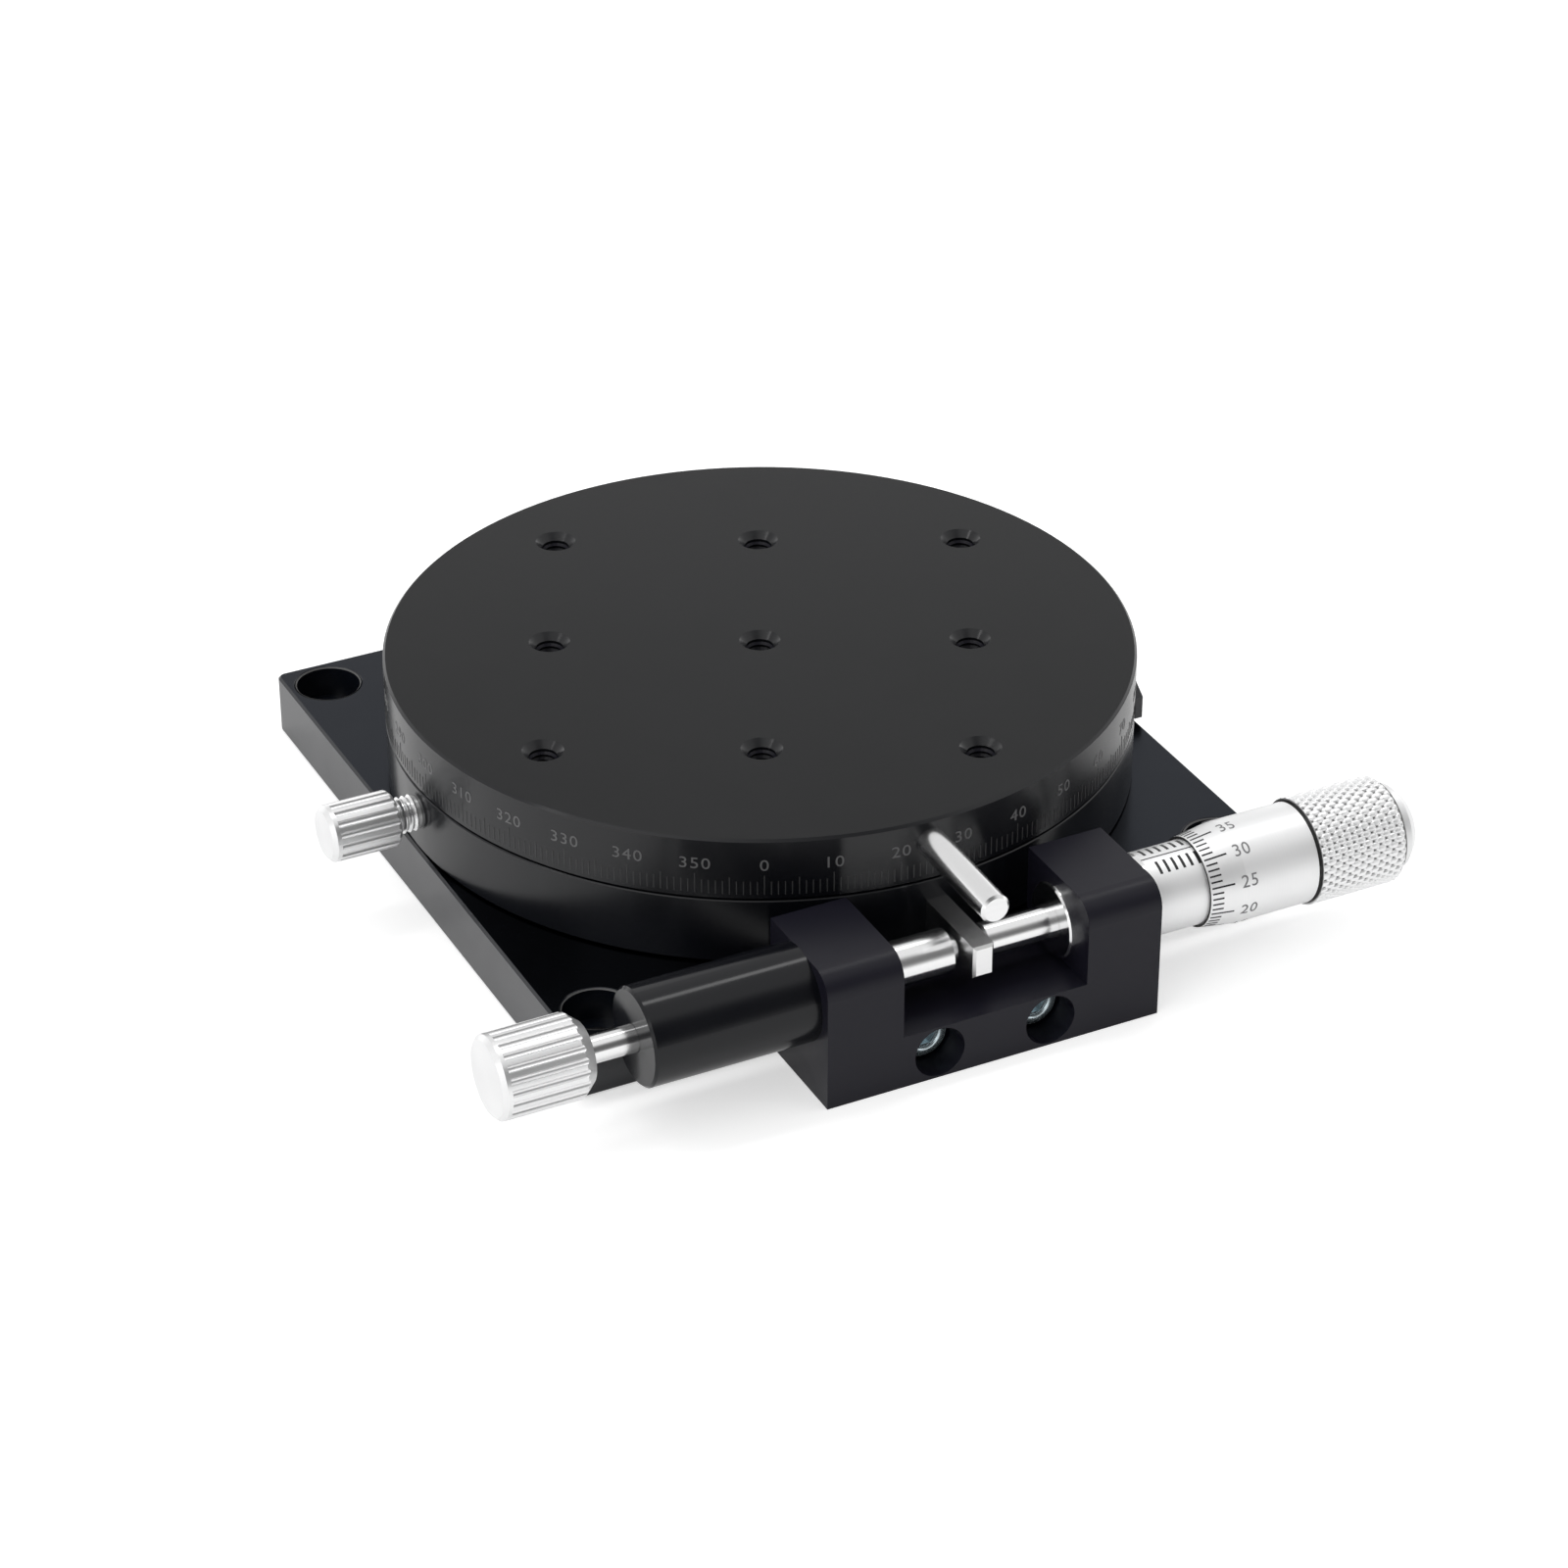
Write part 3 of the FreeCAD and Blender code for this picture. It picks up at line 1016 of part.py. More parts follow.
# Index plate on the base's +X side, with a bevelled top below the scale.
index = new_body("index_plate")
face = sketch_on(index, "index_face", "YZ_Plane", FRONT)
outline(face, [
    ("0 - index_tab_wide / 2", "index_tab_floor"),
    ("index_tab_wide / 2", "index_tab_floor"),
    ("index_tab_wide / 2", "base_thick"),
    ("index_wide / 2", "base_thick"),
    ("index_wide / 2", "base_thick + index_shoulder"),
    ("index_top_wide / 2", INDEX_TOP),
    ("0 - index_top_wide / 2", INDEX_TOP),
    ("0 - index_wide / 2", "base_thick + index_shoulder"),
    ("0 - index_wide / 2", "base_thick"),
    ("0 - index_tab_wide / 2", "base_thick"),
])
pad(index, face, "index_thick")
index_holes = sketch_on(index, "index_holes", "YZ_Plane", FRONT + " + index_thick")
circle(index_holes, "index_screw_spacing / 2", "(index_tab_floor + base_thick) / 2",
       "index_screw_size + 2 * screw_slack")
circle(index_holes, "0 - index_screw_spacing / 2", "(index_tab_floor + base_thick) / 2",
       "index_screw_size + 2 * screw_slack")
pocket(index, index_holes, "index_thick")

# Button screws of the index plate.
buttons = new_body("index_screws")
button_profile = sketch_on(buttons, "button_profile", "XY_Plane")
UNDER = "(" + FRONT + " + index_thick)"
outline(button_profile, [
    (FRONT + " - index_screw_reach + 0.4", "0"),
    (FRONT + " - index_screw_reach + 0.4", "index_screw_size / 2"),
    (UNDER, "index_screw_size / 2"),
    (UNDER, "index_head_wide / 2"),
    (UNDER + " + index_head_high - index_head_round", "index_head_wide / 2"),
    (UNDER + " + index_head_high", "index_head_wide / 2 - index_head_round"),
    (UNDER + " + index_head_high", "0"),
])
button_profile.setExpression("AttachmentOffset.Base.y", bound("index_screw_spacing / 2"))
button_profile.setExpression("AttachmentOffset.Base.z", bound("(index_tab_floor + base_thick) / 2"))
button = revolve(buttons, button_profile, "H_Axis")
mirror(buttons, [button], "XZ_Plane")

# The table and what is fixed to it stand turned at rest.
for body in (table, outer_race, retainer, retainer_screws):
    body.Placement = FreeCAD.Placement(FreeCAD.Vector(), FreeCAD.Rotation(FreeCAD.Vector(0, 0, 1), 1))
    body.setExpression("Placement.Rotation.Angle", bound("rest_turn"))
pin.Placement = FreeCAD.Placement(FreeCAD.Vector(), FreeCAD.Rotation(FreeCAD.Vector(0, 0, 1), 1))
pin.setExpression("Placement.Base.z", bound(PIN_Z))
pin.setExpression("Placement.Rotation.Angle", bound("rest_turn + pin_mark"))

doc.recompute()
for item in doc.Objects:
    if "Invalid" in item.State or "Error" in item.State:
        raise RuntimeError(item.Label + " did not build")
for body in made:
    if body.Shape.isNull() or not body.Shape.isValid() or not body.Shape.Solids:
        raise RuntimeError(body.Label + " has no valid shape")
os.makedirs("parts", exist_ok=True)
for body in made:
    body.Shape.exportStep("parts/" + body.Label + ".step")
print(len(made), "pieces,", sum(len(body.Shape.Solids) for body in made), "solids")
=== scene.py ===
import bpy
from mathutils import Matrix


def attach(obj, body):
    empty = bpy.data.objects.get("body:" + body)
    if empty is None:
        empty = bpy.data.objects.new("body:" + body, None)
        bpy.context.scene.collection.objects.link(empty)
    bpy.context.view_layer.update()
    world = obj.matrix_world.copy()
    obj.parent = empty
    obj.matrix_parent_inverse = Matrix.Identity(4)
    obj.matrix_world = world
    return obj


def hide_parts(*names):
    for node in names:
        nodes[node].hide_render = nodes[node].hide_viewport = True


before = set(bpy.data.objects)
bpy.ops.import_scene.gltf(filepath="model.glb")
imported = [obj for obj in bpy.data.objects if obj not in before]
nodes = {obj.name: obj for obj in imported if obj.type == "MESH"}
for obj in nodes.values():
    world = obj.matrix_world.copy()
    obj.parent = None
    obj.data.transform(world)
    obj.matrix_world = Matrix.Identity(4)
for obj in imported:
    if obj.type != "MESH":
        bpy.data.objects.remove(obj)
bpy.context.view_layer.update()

import math

import bmesh
import bpy
from mathutils import Vector

# Looks of the rotation stage, with Z up along the turning axis. Named sizes and places are in millimetres.
MM = 0.001

# Where the drive's axis lies, and by how many degrees the table's scale and holes stand turned.
DRIVE_Y, DRIVE_Z = -52, 11.5
SCALE_TURN, HOLES_TURN = -25.7, -25.8


# Work on one piece.


def alone(piece):
    """Selects one piece and makes it the active one."""
    bpy.ops.object.select_all(action="DESELECT")
    piece.select_set(True)
    bpy.context.view_layer.objects.active = piece


def new_piece(name):
    """The piece that an operator has just added, under its own name."""
    piece = bpy.context.active_object
    piece.name = name
    piece.data.name = name
    return piece


def settle(piece):
    """Puts the piece's place into its mesh."""
    alone(piece)
    bpy.ops.object.transform_apply(location=True, rotation=True, scale=True)
    return piece


def finish_modifier(piece, name):
    """Makes a modifier a part of the piece's mesh."""
    alone(piece)
    bpy.ops.object.modifier_apply(modifier=name)


def pick_faces(piece, wanted):
    """Goes into edit mode with only those faces selected that wanted accepts."""
    bpy.ops.object.mode_set(mode="EDIT")
    bpy.ops.mesh.select_mode(type="FACE")
    bpy.ops.mesh.select_all(action="DESELECT")
    bpy.ops.object.mode_set(mode="OBJECT")
    for face in piece.data.polygons:
        face.select = bool(wanted(face))
    bpy.ops.object.mode_set(mode="EDIT")


def edit_all(piece, operator, **settings):
    """Runs an edit mode operator on the whole of a piece."""
    alone(piece)
    bpy.ops.object.mode_set(mode="EDIT")
    bpy.ops.mesh.select_all(action="SELECT")
    operator(**settings)
    bpy.ops.object.mode_set(mode="OBJECT")


def face_outwards(piece):
    """Turns the faces of a piece outwards, as after a mirrored copy."""
    edit_all(piece, bpy.ops.mesh.normals_make_consistent, inside=False)


def moved_copy(pattern, place):
    """A copy of a pattern with its own mesh, each vertex moved by place."""
    copy = pattern.copy()
    copy.data = pattern.data.copy()
    bpy.context.scene.collection.objects.link(copy)
    for vertex in copy.data.vertices:
        vertex.co = place(vertex.co)
    return copy


def as_one(parts, name):
    """Joins the copies into one named piece."""
    alone(parts[0])
    for part in parts:
        part.select_set(True)
    bpy.ops.object.join()
    return new_piece(name)


def spread(pattern, name, places, point):
    """One piece with a copy of the pattern at each place. Point gives where a vertex goes, in millimetres."""
    copies = [moved_copy(pattern, lambda p, at=place: Vector(point(p, at)) * MM) for place in places]
    bpy.data.objects.remove(pattern)
    return as_one(copies, name)


# Shader nodes, and the shared effects, each built once as a node group.


def add_node(tree, kind, inputs, **settings):
    """A node with its settings. An input is linked where it gets a socket, and set where it gets a value."""
    node = tree.nodes.new(kind)
    for label, value in settings.items():
        setattr(node, label, value)
    for label, value in inputs.items():
        if isinstance(value, bpy.types.NodeSocket):
            tree.links.new(value, node.inputs[label])
        else:
            node.inputs[label].default_value = value
    return node


def calculate(tree, operation, *values):
    """The result of a sum on sockets and plain numbers."""
    return add_node(tree, "ShaderNodeMath", dict(enumerate(values)), operation=operation).outputs["Value"]


def effect(name, inputs, outputs):
    """A node group with named sockets. Returns the group, its inputs and its outputs."""
    group = bpy.data.node_groups.new(name, "ShaderNodeTree")
    for label, kind, value in inputs:
        socket = group.interface.new_socket(name=label, in_out="INPUT", socket_type=kind)
        if value is not None:
            socket.default_value = value
    for label, kind in outputs:
        group.interface.new_socket(name=label, in_out="OUTPUT", socket_type=kind)
    return group, group.nodes.new("NodeGroupInput"), group.nodes.new("NodeGroupOutput")


def fine_grain():
    """Even blasted grain: Grain is the fine part, Cloud the slow part."""
    group, given, result = effect(
        "Fine Grain",
        [("Position", "NodeSocketVector", None), ("Grains per Metre", "NodeSocketFloat", 9000.0)],
        [("Grain", "NodeSocketFloat"), ("Cloud", "NodeSocketFloat")])
    position = given.outputs["Position"]
    grain = add_node(group, "ShaderNodeTexNoise", {
        "Vector": position, "Scale": given.outputs["Grains per Metre"], "Detail": 3.0, "Roughness": 0.6})
    cloud = add_node(group, "ShaderNodeTexNoise", {"Vector": position, "Scale": 55.0, "Detail": 4.0})
    group.links.new(grain.outputs["Fac"], result.inputs["Grain"])
    group.links.new(cloud.outputs["Fac"], result.inputs["Cloud"])
    return group


def turned_lines():
    """Tool lines round an axis that runs along Z: rings on a face, bands on a wall."""
    group, given, result = effect(
        "Turned Lines",
        [("Position", "NodeSocketVector", None), ("Lines per Metre", "NodeSocketFloat", 7000.0)],
        [("Lines", "NodeSocketFloat")])
    parts = add_node(group, "ShaderNodeSeparateXYZ", {"Vector": given.outputs["Position"]})
    flat = add_node(group, "ShaderNodeCombineXYZ", {"X": parts.outputs["X"], "Y": parts.outputs["Y"]})
    radius = add_node(group, "ShaderNodeVectorMath", {0: flat.outputs["Vector"]}, operation="LENGTH")
    across = add_node(group, "ShaderNodeCombineXYZ", {"X": radius.outputs["Value"], "Y": parts.outputs["Z"]})
    lines = add_node(group, "ShaderNodeTexNoise", {
        "Vector": across.outputs["Vector"], "Scale": given.outputs["Lines per Metre"], "Detail": 2.0})
    group.links.new(lines.outputs["Fac"], result.inputs["Lines"])
    return group


def handling_marks():
    """Slow smears and a few fine scratches, each as a mask."""
    group, given, result = effect("Handling Marks", [("Position", "NodeSocketVector", None)],
                                  [("Smear", "NodeSocketFloat"), ("Scratch", "NodeSocketFloat")])
    position = given.outputs["Position"]
    smear = add_node(group, "ShaderNodeTexNoise", {
        "Vector": position, "Scale": 90.0, "Detail": 5.0, "Distortion": 0.8})
    smear_mask = add_node(group, "ShaderNodeMapRange", {
        "Value": smear.outputs["Fac"], "From Min": 0.35, "From Max": 0.7})
    stretch = add_node(group, "ShaderNodeMapping", {
        "Vector": position, "Rotation": (0.4, 0.7, 0.3), "Scale": (60.0, 1500.0, 700.0)})
    scratch = add_node(group, "ShaderNodeTexNoise", {
        "Vector": stretch.outputs["Vector"], "Scale": 1.0, "Detail": 1.0})
    scratch_mask = add_node(group, "ShaderNodeMapRange", {
        "Value": scratch.outputs["Fac"], "From Min": 0.72, "From Max": 0.8})
    group.links.new(smear_mask.outputs["Result"], result.inputs["Smear"])
    group.links.new(scratch_mask.outputs["Result"], result.inputs["Scratch"])
    return group


GRAIN = fine_grain()
LINES = turned_lines()
MARKS = handling_marks()


class Finish:
    """One material: a Principled shader, the piece's own coordinates and the shared effects.
    Where the piece is turned about X, position has the drive's axis laid along Z."""

    def __init__(self, name, base, metallic, roughness, ior=1.5, turned=None):
        self.material = bpy.data.materials.new(name)
        self.material.use_nodes = True
        self.tree = self.material.node_tree
        self.shader = self.tree.nodes["Principled BSDF"]
        self.shader.inputs["Base Color"].default_value = (*base, 1.0)
        self.shader.inputs["Metallic"].default_value = metallic
        self.shader.inputs["Roughness"].default_value = roughness
        self.shader.inputs["IOR"].default_value = ior
        self.place = self.add("ShaderNodeTexCoord", {}).outputs["Object"]
        self.position = self.place
        if turned == "X":
            mapping = self.add("ShaderNodeMapping", {
                "Vector": self.place, "Location": (DRIVE_Z * MM, -DRIVE_Y * MM, 0.0),
                "Rotation": (0.0, math.radians(-90), 0.0)}, vector_type="POINT")
            self.position = mapping.outputs["Vector"]

    def add(self, kind, inputs, **settings):
        return add_node(self.tree, kind, inputs, **settings)

    def feed(self, label, value):
        """Links a socket to the shader."""
        self.tree.links.new(value, self.shader.inputs[label])

    def use(self, group, **values):
        """A shared effect at the piece's own position."""
        inputs = {label.replace("_", " "): value for label, value in values.items()}
        return self.add("ShaderNodeGroup", {"Position": self.position, **inputs}, node_tree=group)

    def vary_colour(self, mask, low, high):
        mix = self.add("ShaderNodeMix", {
            "A": (*low, 1.0), "B": (*high, 1.0), "Factor": mask}, data_type="RGBA")
        self.feed("Base Color", mix.outputs["Result"])

    def vary_roughness(self, mask, low, high):
        span = self.add("ShaderNodeMapRange", {"Value": mask, "To Min": low, "To Max": high})
        self.feed("Roughness", span.outputs["Result"])

    def cover(self, mask, colour):
        """Gives the surface another colour where the mask is one."""
        was = self.shader.inputs["Base Color"].links[0].from_socket
        mix = self.add("ShaderNodeMix", {"A": was, "B": (*colour, 1.0), "Factor": mask}, data_type="RGBA")
        self.feed("Base Color", mix.outputs["Result"])

    def dull_top(self, level, colour):
        """Over a height on Z, turns the surface into a dark metal, which shines less than varnish does."""
        parts = self.add("ShaderNodeSeparateXYZ", {"Vector": self.place})
        over = calculate(self.tree, "GREATER_THAN", parts.outputs["Z"], level)
        self.feed("Metallic", over)
        self.cover(over, colour)

    def darken_pits(self, low, high, colour):
        """On a piece turned about X, paints shade from the radius high down to the radius low: painted shade
        in the knurl's pits and grooves.
        """
        parts = self.add("ShaderNodeSeparateXYZ", {"Vector": self.position})
        sides = [parts.outputs["X"], parts.outputs["Y"]]
        squares = [calculate(self.tree, "MULTIPLY", side, side) for side in sides]
        radius = calculate(self.tree, "SQRT", calculate(self.tree, "ADD", *squares))
        depth = self.add("ShaderNodeMapRange", {
            "Value": radius, "From Min": low, "From Max": high, "To Min": 1.0, "To Max": 0.0})
        self.cover(depth.outputs["Result"], colour)

    def darken_left_of(self, edge, colour):
        """Paints shade on whatever lies to the left of a place on X: a painted shade band at the thimble's
        left end, where the gap to the sleeve falls in shadow.
        """
        parts = self.add("ShaderNodeSeparateXYZ", {"Vector": self.place})
        self.cover(calculate(self.tree, "LESS_THAN", parts.outputs["X"], edge), colour)

    def stretch_gloss(self, axis, share):
        """Stretches the gloss across the tool lines of a piece turned about an axis."""
        around = self.add("ShaderNodeTangent", {}, direction_type="RADIAL", axis=axis)
        self.feed("Tangent", around.outputs["Tangent"])
        self.shader.inputs["Anisotropic"].default_value = share
        self.shader.inputs["Anisotropic Rotation"].default_value = 0.25

    def raise_surface(self, height, strength, depth, below=None):
        """Bumps the surface by a height. Below is the normal of a bump made before, which stays under it."""
        bump = self.add("ShaderNodeBump", {"Strength": strength, "Distance": depth, "Height": height})
        if below:
            self.tree.links.new(below, bump.inputs["Normal"])
        self.feed("Normal", bump.outputs["Normal"])
        return bump.outputs["Normal"]


# Finishes. A pair of colours is the darkest and the palest of one finish.


def black_anodise(name, colours, rough, ior, grain_depth, turned=None, lines=0.0, top=None):
    """Black anodised aluminium: blasted grain, slow changes of gloss, and tool lines where it was turned.
    Top gives the height over which a face shines less than the sides, and the colour it has there."""
    finish = Finish(name, colours[0], 0.0, rough[0], ior, turned)
    grain = finish.use(GRAIN, Grains_per_Metre=7000.0)
    marks = finish.use(MARKS)
    finish.vary_colour(grain.outputs["Cloud"], *colours)
    finish.vary_roughness(marks.outputs["Smear"], *rough)
    below = finish.raise_surface(grain.outputs["Grain"], strength=0.35, depth=grain_depth)
    if lines:
        cut = finish.use(LINES, Lines_per_Metre=9000.0)
        finish.raise_surface(cut.outputs["Lines"], strength=lines, depth=2e-6, below=below)
    if turned:
        finish.stretch_gloss(turned, share=0.8)
    if top:
        finish.dull_top(*top)
    return finish.material


def bright_metal(name, colours, rough, lines, turned=None, metallic=1.0, pit_shade=None, left_end=None):
    """Plated or polished metal with tool lines, smears and a few scratches. Of its last two arguments, the
    first gives the two radii between which painted shade fills the pits, and the second where a painted shade
    band on the left end face stops on X, each with the shade colour."""
    finish = Finish(name, colours[0], metallic, rough[0], turned=turned)
    marks = finish.use(MARKS)
    cut = finish.use(LINES, Lines_per_Metre=6000.0)
    finish.vary_colour(cut.outputs["Lines"], *colours)
    finish.vary_roughness(marks.outputs["Smear"], *rough)
    below = finish.raise_surface(cut.outputs["Lines"], strength=lines, depth=3e-6)
    finish.raise_surface(marks.outputs["Scratch"], strength=0.1, depth=-2e-6, below=below)
    if turned:
        finish.stretch_gloss(turned, share=0.6)
    if pit_shade:
        finish.darken_pits(*pit_shade)
    if left_end:
        finish.darken_left_of(*left_end)
    return finish.material


def white_plastic():
    finish = Finish("white plastic", (0.82, 0.82, 0.8), metallic=0.0, roughness=0.45, ior=1.4)
    grain = finish.use(GRAIN, Grains_per_Metre=3000.0)
    finish.vary_colour(grain.outputs["Cloud"], (0.80, 0.80, 0.78), (0.86, 0.86, 0.84))
    finish.raise_surface(grain.outputs["Grain"], strength=0.2, depth=4e-6)
    return finish.material


def paint(name, low, high):
    """Paint in an engraved mark, a little uneven."""
    finish = Finish(name, low, metallic=0.0, roughness=0.5, ior=1.45)
    grain = finish.use(GRAIN, Grains_per_Metre=5000.0)
    finish.vary_colour(grain.outputs["Grain"], low, high)
    finish.vary_roughness(grain.outputs["Cloud"], low=0.42, high=0.58)
    return finish.material


PLATE_BLACKS = ((0.0038, 0.0052, 0.0086), (0.0054, 0.0070, 0.0108))
CHROMES = ((0.90, 0.902, 0.905), (0.95, 0.951, 0.953))
UNDER_PLATE_TOP, PLATE_TOP_COLOUR = 7.69, (0.0150, 0.0180, 0.0250)
UNDER_TABLE_TOP, TABLE_TOP_COLOUR = 23.99, (0.0188, 0.0192, 0.0202)
# Painted shade: a dark band on the thimble's left end face, standing for the shadowed gap to the sleeve.
THIMBLE_END_X, THIMBLE_END_SHADE_COLOUR = 28.53, (0.06, 0.06, 0.06)
# Painted shade: the dark colour that fills the knurl's pits and grooves below the lip's radius.
GROOVE_FLOOR, GROOVE_LIP, GROOVE_SHADE_COLOUR = 6.08, 6.24, (0.10, 0.10, 0.10)

black_plate = black_anodise(
    "black anodised plate", PLATE_BLACKS, rough=(0.18, 0.26), ior=1.55, grain_depth=3e-6,
    top=(UNDER_PLATE_TOP * MM, PLATE_TOP_COLOUR))
black_index = black_anodise(
    "black anodised index plate", PLATE_BLACKS, rough=(0.18, 0.26), ior=1.55, grain_depth=3e-6)
black_block = black_anodise(
    "black anodised block", ((0.0070, 0.0066, 0.0125), (0.0100, 0.0095, 0.0160)),
    rough=(0.30, 0.40), ior=1.31, grain_depth=4e-6)
black_table = black_anodise(
    "black anodised table", ((0.0042, 0.0046, 0.0062), (0.0060, 0.0064, 0.0082)),
    rough=(0.20, 0.26), ior=1.46, grain_depth=2.5e-6, turned="Z", lines=0.1,
    top=(UNDER_TABLE_TOP * MM, TABLE_TOP_COLOUR))
black_ring = black_anodise(
    "black anodised ring", ((0.0032, 0.0038, 0.0056), (0.0046, 0.0052, 0.0072)),
    rough=(0.18, 0.24), ior=1.46, grain_depth=1.5e-6, turned="Z", lines=0.12)
black_barrel = black_anodise(
    "black anodised barrel", ((0.0034, 0.0038, 0.0056), (0.0048, 0.0052, 0.0074)),
    rough=(0.14, 0.20), ior=1.38, grain_depth=1.5e-6, turned="X", lines=0.12)

satin_chrome = bright_metal(
    "satin chrome", CHROMES, rough=(0.46, 0.54), lines=0.2, turned="X", metallic=0.75)
# The thimble carries a painted shade band on its left end.
thimble_chrome = bright_metal(
    "satin chrome thimble", CHROMES, rough=(0.46, 0.54), lines=0.2, turned="X", metallic=0.75,
    left_end=(THIMBLE_END_X * MM, THIMBLE_END_SHADE_COLOUR))
# Knurled chrome with painted shade in its pits and grooves.
knurl_chrome = bright_metal(
    "knurled chrome", ((0.90, 0.902, 0.905), (0.94, 0.941, 0.943)), rough=(0.36, 0.44), lines=0.1,
    turned="X", metallic=0.85, pit_shade=(GROOVE_FLOOR * MM, GROOVE_LIP * MM, GROOVE_SHADE_COLOUR))
satin_knob = bright_metal(
    "satin chrome knob", ((0.84, 0.842, 0.845), (0.90, 0.901, 0.903)), rough=(0.32, 0.40), lines=0.2,
    turned="X", metallic=0.9)
polished_steel = bright_metal(
    "polished steel", ((0.84, 0.84, 0.842), (0.90, 0.90, 0.902)), rough=(0.14, 0.20), lines=0.12, turned="X")
bright_pin = bright_metal(
    "polished steel pin", ((0.80, 0.80, 0.802), (0.88, 0.88, 0.882)), rough=(0.20, 0.26), lines=0.08)
turned_steel = bright_metal(
    "turned steel", ((0.55, 0.56, 0.57), (0.62, 0.63, 0.64)), rough=(0.22, 0.34), lines=0.4)
bearing_steel = bright_metal(
    "bearing steel", ((0.66, 0.67, 0.68), (0.72, 0.73, 0.74)), rough=(0.08, 0.16), lines=0.1)
zinc_plate = bright_metal(
    "zinc plated screw", ((0.66, 0.80, 0.86), (0.84, 0.94, 0.98)), rough=(0.16, 0.26), lines=0.15,
    metallic=0.75)
turned_brass = bright_metal(
    "turned brass", ((0.72, 0.52, 0.22), (0.80, 0.60, 0.28)), rough=(0.18, 0.30), lines=0.4)

slip_plastic = white_plastic()
white_paint = paint("white line paint", (0.30, 0.30, 0.30), (0.42, 0.42, 0.42))
number_paint = paint("grey rim number paint", (0.11, 0.11, 0.112), (0.155, 0.155, 0.158))
line_paint = paint("grey rim line paint", (0.032, 0.032, 0.033), (0.056, 0.056, 0.057))
# Painted highlight: pale grey for the light caught on the counterbores' broken edges.
painted_edge_highlight = paint("painted highlight on hole edge", (0.07, 0.07, 0.07), (0.12, 0.12, 0.12))
black_paint = paint("black mark paint", (0.008, 0.008, 0.009), (0.016, 0.016, 0.018))
grey_paint = paint("grey number paint", (0.16, 0.16, 0.165), (0.24, 0.24, 0.245))

finishes = {
    black_plate: ["base_plate"],
    black_index: ["index_plate"],
    black_block: ["micrometer_bracket"],
    black_table: ["rotary_table"],
    black_ring: ["clamp_ring"],
    black_barrel: ["spring_barrel"],
    satin_chrome: ["graduated_sleeve", "thimble_grip", "end_cap"],
    thimble_chrome: ["thimble"],
    satin_knob: ["pull_knob", "clamp_screw"],
    polished_steel: ["plunger", "plunger_rod", "micrometer_spindle", "micrometer_stem", "stem_lock_nut"],
    bright_pin: ["tangent_arm", "turning_pin"],
    turned_steel: ["center_hub", "race_clamp_plate", "race_retainer"],
    bearing_steel: ["bearing_inner_race", "bearing_outer_race", "bearing_balls", "arm_dowel",
                    "return_spring"],
    zinc_plate: ["hub_screws", "race_clamp_screws", "retainer_screws", "bracket_screws", "index_screws"],
    turned_brass: ["feed_nut", "ball_cage", "brake_pad"],
    slip_plastic: ["slip_ring"],
}
for finish, names in finishes.items():
    for name in names:
        mesh = nodes[name].data
        mesh.materials.clear()
        mesh.materials.append(finish)


# Marks: one straight dash, one curved dash and the numbers, wrapped on the rim and on the micrometer.
MARK_FOOT, MARK_TOP = -0.05, 0.02
FINE_MARK_FOOT, FINE_MARK_HIGH = -0.03, 0.045


def dash_pattern(name, cuts):
    """A dash one unit long on X, one wide on Y and from 0 to 1 high on Z, with a narrower top."""
    bpy.ops.object.select_all(action="DESELECT")
    bpy.ops.mesh.primitive_cube_add(size=1.0, location=(0.5, 0.0, 0.5))
    dash = settle(new_piece(name))
    pick_faces(dash, lambda face: face.normal.z > 0.5)
    bpy.ops.mesh.inset(thickness=0.06, depth=0.0)
    if cuts:
        pick_faces(dash, lambda face: True)
        bpy.ops.mesh.bisect(plane_co=(0.5, 0, 0), plane_no=(1, 0, 0))
        for step in range(1, cuts):
            for side in (-1, 1):
                bpy.ops.mesh.select_all(action="SELECT")
                bpy.ops.mesh.bisect(plane_co=(0.5 + side * 0.5 * step / cuts, 0, 0), plane_no=(1, 0, 0))
    bpy.ops.object.mode_set(mode="OBJECT")
    return dash


def number_pattern(text):
    """A number one unit high, centred on the origin, from 0 to 1 on Z."""
    bpy.ops.object.select_all(action="DESELECT")
    bpy.ops.object.text_add(location=(0, 0, 0))
    line = bpy.context.active_object
    line.data.body = text
    line.data.size = 1.4
    line.data.align_x = "CENTER"
    line.data.align_y = "CENTER"
    line.data.space_character = 1.12
    line.data.resolution_u = 4
    bpy.ops.object.convert(target="MESH")
    number = new_piece("number " + text)
    thick = number.modifiers.new("thickness", "SOLIDIFY")
    thick.thickness = 1.0
    thick.offset = 1.0
    finish_modifier(number, "thickness")
    foot = min(v.co.z for v in number.data.vertices)
    heights = [v.co.y for v in number.data.vertices]
    middle = (max(heights) + min(heights)) / 2
    high = 2 * (max(heights) - middle)
    for v in number.data.vertices:
        v.co = Vector((v.co.x / high, (v.co.y - middle) / high, v.co.z - foot))
    return number


def cut_up(number, across, around):
    """Cuts a number at places on X and on Y, so that it can follow a round surface."""
    pick_faces(number, lambda face: True)
    cuts = [((x, 0, 0), (1, 0, 0)) for x in across] + [((0, y, 0), (0, 1, 0)) for y in around]
    for spot, way in cuts:
        bpy.ops.mesh.select_all(action="SELECT")
        bpy.ops.mesh.bisect(plane_co=spot, plane_no=way)
    bpy.ops.object.mode_set(mode="OBJECT")
    return number


def out_of_surface(unit):
    """How far a point of a mark stands out of its surface, from its sunk foot at 0 to its top at 1."""
    return MARK_FOOT + unit * (MARK_TOP - MARK_FOOT)


